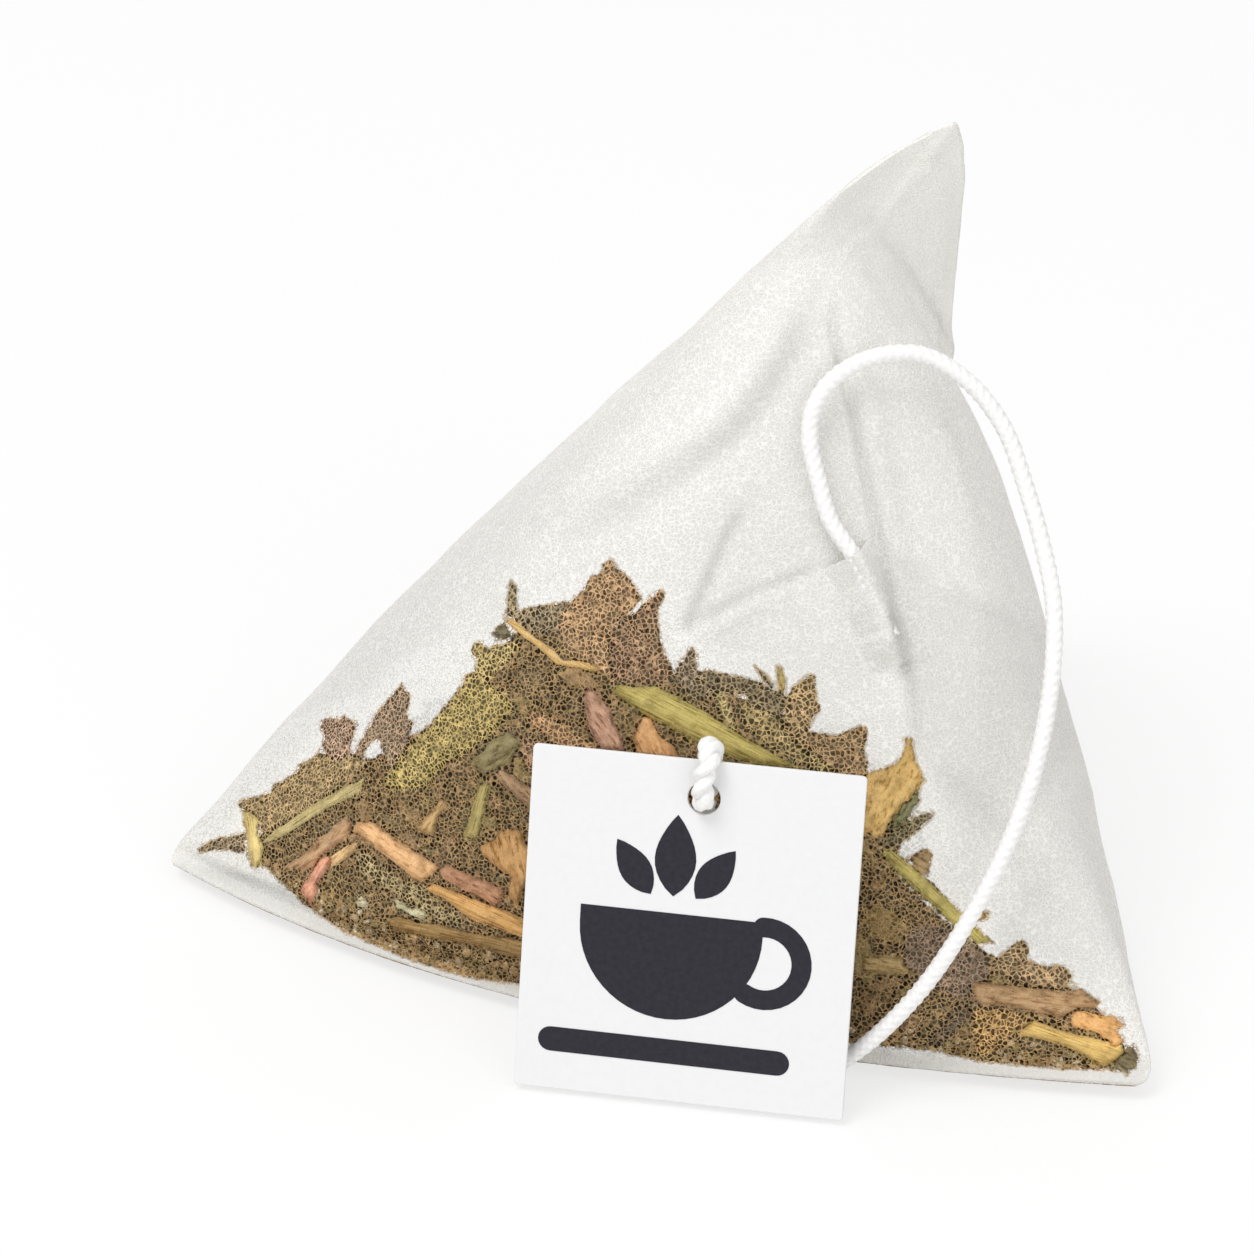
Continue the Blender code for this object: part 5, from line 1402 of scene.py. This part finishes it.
def make_crumbs(layers):
    """Torn leaves and dust between and behind the larger pieces, as far as the picture shows herbs."""
    rng = random.Random(11)
    region = np.array(HERB_CORE, float)
    low, high = region.min(0), region.max(0)
    spots = [(rng.uniform(low[0], high[0]), rng.uniform(low[1], high[1])) for _ in range(CRUMB_TRIES)]
    columns = np.arange(low[0], high[0], CRUMB_GRID)
    rest = [(x, y) for x in columns for y in np.arange(low[1], high[1], CRUMB_GRID)]
    flakes = []
    for i, (x, y) in enumerate(spots + rest):
        room = inside_outline(np.array([(x, y)]), region)[0]
        covered = layers.taken.get((int(x // layers.CELL), int(y // layers.CELL)), 0.0)
        bright = i < BRIGHT_TRIES
        if room < 2 or covered > (0.55 if bright else 1.9 if i < len(spots) else 0.0):
            continue
        size = min(rng.choice((9, 13, 18, 26)) if bright else rng.choice((12, 16, 22, 30)), room + 2)
        slim = rng.choice((0.2, 0.3, 0.45, 0.7))
        turn = rng.gauss(0.45, 0.8)
        kind = "stem" if slim < 0.25 else "leaf"
        colour = rng.choice(BRIGHT_COLOURS if bright else SHADED_CRUMB_COLOURS)
        depth = rng.uniform(0.3, 0.5) if bright else rng.uniform(0.6, 1.4)
        outline = random_outline(rng, x, y, size, slim, turn)
        piece = picture_piece(kind, math.degrees(turn), outline, depth, layers, 200 + i, 3.8)
        flakes.append((*piece, colour))
    # Painted shade: a dark backing sheet behind all the crumbs.
    backing = picture_piece("leaf", 20, HERB_CORE, 1.5, layers, 7, 6.0)
    flakes.append((*backing, SHADOW_BACKING_COLOUR))
    return joined("leaf_crumbs", flakes, herb_material("leaf_crumbs", "leaf"), "fines")


# Where fine bits lie along the cloth's lower fold in the picture, and how far above it they reach.
DUST_BAND = (
    (240, 858), (300, 896), (345, 924), (400, 948), (460, 967), (525, 978), (700, 1010), (870, 1042),
    (1000, 1058), (1120, 1070),
)
DUST_REACH, DUST_COUNT = 10, 420


def make_dust(layers):
    """Fine pale, green and brown bits on the cloth along its lower fold."""
    rng = random.Random(12)
    dust = []
    for i in range(DUST_COUNT):
        leg = rng.randrange(len(DUST_BAND) - 1)
        t = rng.random()
        x = DUST_BAND[leg][0] + (DUST_BAND[leg + 1][0] - DUST_BAND[leg][0]) * t
        y = DUST_BAND[leg][1] + (DUST_BAND[leg + 1][1] - DUST_BAND[leg][1]) * t + 3
        y -= abs(rng.gauss(0, DUST_REACH))
        outline = random_outline(rng, x, y, rng.uniform(2.5, 6.5), rng.uniform(0.4, 0.9), rng.uniform(0, 3))
        piece = picture_piece("chip", rng.uniform(0, 180), outline, rng.uniform(0.3, 0.5), layers, 900 + i)
        dust.append((*piece, rng.choice(FINE_COLOURS)))
    return joined("herb_dust", dust, herb_material("herb_dust", "chip"), "fines", gain=NEAR_PAINTED_LIGHT)


# Pieces at the back: kind, material slot and colour of each.
REAR_PIECES = {
    "back_stem": ("stem", "olive_stem", (160, 146, 74)),
    "rear_stem": ("stem", "olive_stem", (156, 138, 76)),
    "back_leaf": ("leaf", "brown_leaf", (146, 114, 78)),
    "rear_leaf": ("leaf", "brown_leaf", (136, 108, 70)),
    "back_tan_chip": ("chip", "tan_stem", (192, 152, 96)),
}


def rear_outline(kind, low, high):
    """Outline of a piece at the back, between the corners of its solid."""
    if kind == "leaf":
        return [
            (high[0], 0), (high[0] * 0.5, high[1] * 0.8), (0, high[1]), (low[0] * 0.6, high[1] * 0.7),
            (low[0], 0), (low[0] * 0.55, low[1] * 0.8), (0, low[1]), (high[0] * 0.55, low[1] * 0.75),
        ]
    return [
        (high[0], high[1] * 0.7), (high[0] * 0.4, high[1]), (low[0] * 0.5, high[1] * 0.95),
        (low[0], high[1] * 0.6), (low[0] * 0.96, low[1] * 0.8), (0, low[1]), (high[0] * 0.9, low[1] * 0.85),
    ]


def rear_piece(name, kind, seed):
    """Mesh of a piece at the back, in the plane of its CAD solid."""
    spots, _ = node_points(name)
    middle = spots.mean(0)
    _, _, axes = np.linalg.svd(spots - middle, full_matrices=False)
    local = (spots - middle) @ axes.T
    low, high = local.min(0) * PIXELS_PER_MM, local.max(0) * PIXELS_PER_MM
    rng = random.Random(seed)
    rim = ragged(rear_outline(kind, low, high), 1.6, seed)
    places, triangles = filled(rim, rng)
    deep = np.maximum(inside_outline(places, rim), 0)
    height, grains = relief(kind, places, deep, 0, seed)
    flat = places / PIXELS_PER_MM
    half = height.max() / 2
    tops = middle + flat[:, :1] * axes[0] + flat[:, 1:] * axes[1] + (height - half)[:, None] * axes[2]
    bottoms = tops - (height + 0.1 + 0.3 * height)[:, None] * axes[2]
    points, faces = skins(tops, bottoms, triangles, len(rim))
    obj = mesh_object(name + "_look", row(points), faces)
    outward_faces(obj)
    grained(obj, np.vstack([grains, grains]))
    return obj


def make_rear_pieces():
    """Pieces at the back, which the picture doesn't show."""
    made = []
    for seed, (name, (kind, slot, colour)) in enumerate(REAR_PIECES.items(), 60):
        obj = rear_piece(name, kind, seed)
        made.append(keep(obj, herb_material(name, kind, colour), slot, name))
    return made


HEAP_FLAKES = 520  # tries at a torn leaf on the sides of the heap


def roughen(obj):
    """Small lumps over the heap, none of them under the bag."""
    bm = bmesh.new()
    bm.from_mesh(obj.data)
    bmesh.ops.remove_doubles(bm, verts=bm.verts, dist=1e-6)
    bmesh.ops.subdivide_edges(bm, edges=bm.edges, cuts=2, use_grid_fill=True)
    bm.normal_update()
    for vert in bm.verts:
        place = Vector(np.array(vert.co) / MM)
        bumps = 0.45 * noise.noise(place / 1.6) + 0.22 * noise.noise(place / 0.7) - 0.25
        vert.co += vert.normal * bumps * MM
        vert.co.z = max(vert.co.z, LOWEST * MM)
    bmesh.ops.recalc_face_normals(bm, faces=bm.faces)
    bm.to_mesh(obj.data)
    bm.free()


def heap_flake(face, seed, rng, cloth_tree):
    """Torn leaf on one face of the heap, or None near the floor and on the side that the picture shows."""
    normal = np.array(face.normal)
    spot = np.array(face.center) / MM + CENTRE
    if normal @ CAM_BACK > 0.25 or spot[2] < 1.4:
        return None
    tilt = np.array([rng.uniform(-0.35, 0.35) for _ in range(3)])
    up = normal + tilt
    up /= np.linalg.norm(up)
    side = np.cross(up, (0.3, 0.2, 0.9))
    side /= np.linalg.norm(side)
    other = np.cross(up, side)
    size, slim = rng.choice((10, 16, 22, 30)), rng.choice((0.25, 0.45, 0.7))
    outline = random_outline(rng, 0, 0, size, slim, rng.uniform(0, math.pi))
    rim = ragged(outline, 2.0, seed)
    places, triangles = filled(rim, rng, 5.0)
    deep = np.maximum(inside_outline(places, rim), 0)
    kind = "stem" if slim < 0.3 else "leaf"
    height, grains = relief(kind, places, deep, 0, seed)
    flat = places / PIXELS_PER_MM
    reach = float(np.abs(flat).max()) * 0.35 + 0.2
    room = cloth_tree.ray_cast(Vector(spot), Vector(normal))[3] or 0.5
    middle = spot + normal * min(rng.uniform(0.0, 0.35), max(room - reach, 0))
    tops = middle + flat[:, :1] * side + flat[:, 1:] * other + height[:, None] * up
    bottoms = tops - (height + 0.12)[:, None] * up
    points, faces = skins(tops, bottoms, triangles, len(rim))
    return points, faces, np.vstack([grains, grains]), rng.choice(SHADED_CRUMB_COLOURS + FINE_COLOURS[1:4])


def make_heap(cloth_tree):
    """The heap behind, uneven and dark, and torn leaves over the sides that the picture doesn't show."""
    spots, mesh = node_points("herb_heap")
    mesh.calc_loop_triangles()
    obj = mesh_object("heap_of_fines", row(spots), [tuple(t.vertices) for t in mesh.loop_triangles])
    roughen(obj)
    grains = np.array([v.co for v in obj.data.vertices]) / MM
    grained(obj, grains)
    keep(obj, herb_material("heap_of_fines", "leaf", (52, 44, 30)), "fines", "herb_heap")
    rng = random.Random(23)
    faces = list(obj.data.polygons)
    tries = [heap_flake(rng.choice(faces), i, rng, cloth_tree) for i in range(HEAP_FLAKES)]
    flakes = [flake for flake in tries if flake is not None]
    return [obj, joined("heap_leaves", flakes, herb_material("heap_leaves", "leaf"), "fines")]


# Floor, light, world


FLOOR_HALF = 1.5  # metres


def make_floor():
    """Floor that looks white to the camera and keeps its shadow."""
    n = Nodes("floor")
    diffuse = n.add("ShaderNodeBsdfDiffuse")
    diffuse.inputs[0].default_value = (0.9, 0.9, 0.9, 1)
    glow = n.add("ShaderNodeEmission")
    glow.inputs["Strength"].default_value = 1.0
    path = n.add("ShaderNodeLightPath")
    seen = n.math("MULTIPLY", path.outputs["Is Camera Ray"], 0.72)
    mixed = n.add("ShaderNodeMixShader")
    n.put(mixed, "0", seen)
    n.tree.links.new(diffuse.outputs[0], mixed.inputs[1])
    n.tree.links.new(glow.outputs[0], mixed.inputs[2])
    material = n.surface(mixed)
    size = FLOOR_HALF
    corners = [(-size, -size, 0), (size, -size, 0), (size, size, 0), (-size, size, 0)]
    floor = mesh_object("floor", corners, [(0, 1, 2, 3)])
    floor.data.materials.append(material)


def make_world():
    """Even light, and white where the camera sees past the floor."""
    world = bpy.data.worlds.new("studio")
    bpy.context.scene.world = world
    world.use_nodes = True
    tree = world.node_tree
    tree.nodes.clear()
    out = tree.nodes.new("ShaderNodeOutputWorld")
    kinds = ("ShaderNodeBackground", "ShaderNodeBackground", "ShaderNodeMixShader", "ShaderNodeLightPath")
    dim, bright, choose, rays = (tree.nodes.new(kind) for kind in kinds)
    dim.inputs[0].default_value = (1, 1, 1, 1)
    dim.inputs[1].default_value = 0.62
    bright.inputs[0].default_value = (1, 1, 1, 1)
    bright.inputs[1].default_value = 1.0
    tree.links.new(rays.outputs["Is Camera Ray"], choose.inputs[0])
    tree.links.new(dim.outputs[0], choose.inputs[1])
    tree.links.new(bright.outputs[0], choose.inputs[2])
    tree.links.new(choose.outputs[0], out.inputs[0])


def area_light(name, place, aim, size, power):
    data = bpy.data.lights.new(name, "AREA")
    data.size, data.energy = size, power
    lamp = bpy.data.objects.new(name, data)
    bpy.context.scene.collection.objects.link(lamp)
    lamp.location = place
    lamp.rotation_euler = (Vector(aim) - Vector(place)).to_track_quat("-Z", "Y").to_euler()


make_camera()
COTTON = cotton("cotton")
string, string_path, string_length = make_string(COTTON)
make_floor()
make_world()
area_light("key", (-0.18, -0.22, 0.62), (0, 0, 0.02), 0.35, 2.25)
area_light("fill", (0.45, -0.30, 0.30), (0, 0, 0.02), 0.4, 0.7)
cloth = make_cloth()
cloth_tree = tree_of(cloth)
layers = Layers(cloth_tree)
herbs = make_picture_pieces(layers, cloth_tree) + [make_dust(layers), make_crumbs(layers)]
herbs += make_rear_pieces() + make_heap(cloth_tree)
mark_loaded(cloth, herbs)
keep(make_sleeve(cloth_tree, string_path), cloth.data.materials[0], "cloth")
tag = make_tag()
make_print()
loops = make_knot(COTTON)

bpy.context.scene.view_settings.view_transform = "Standard"
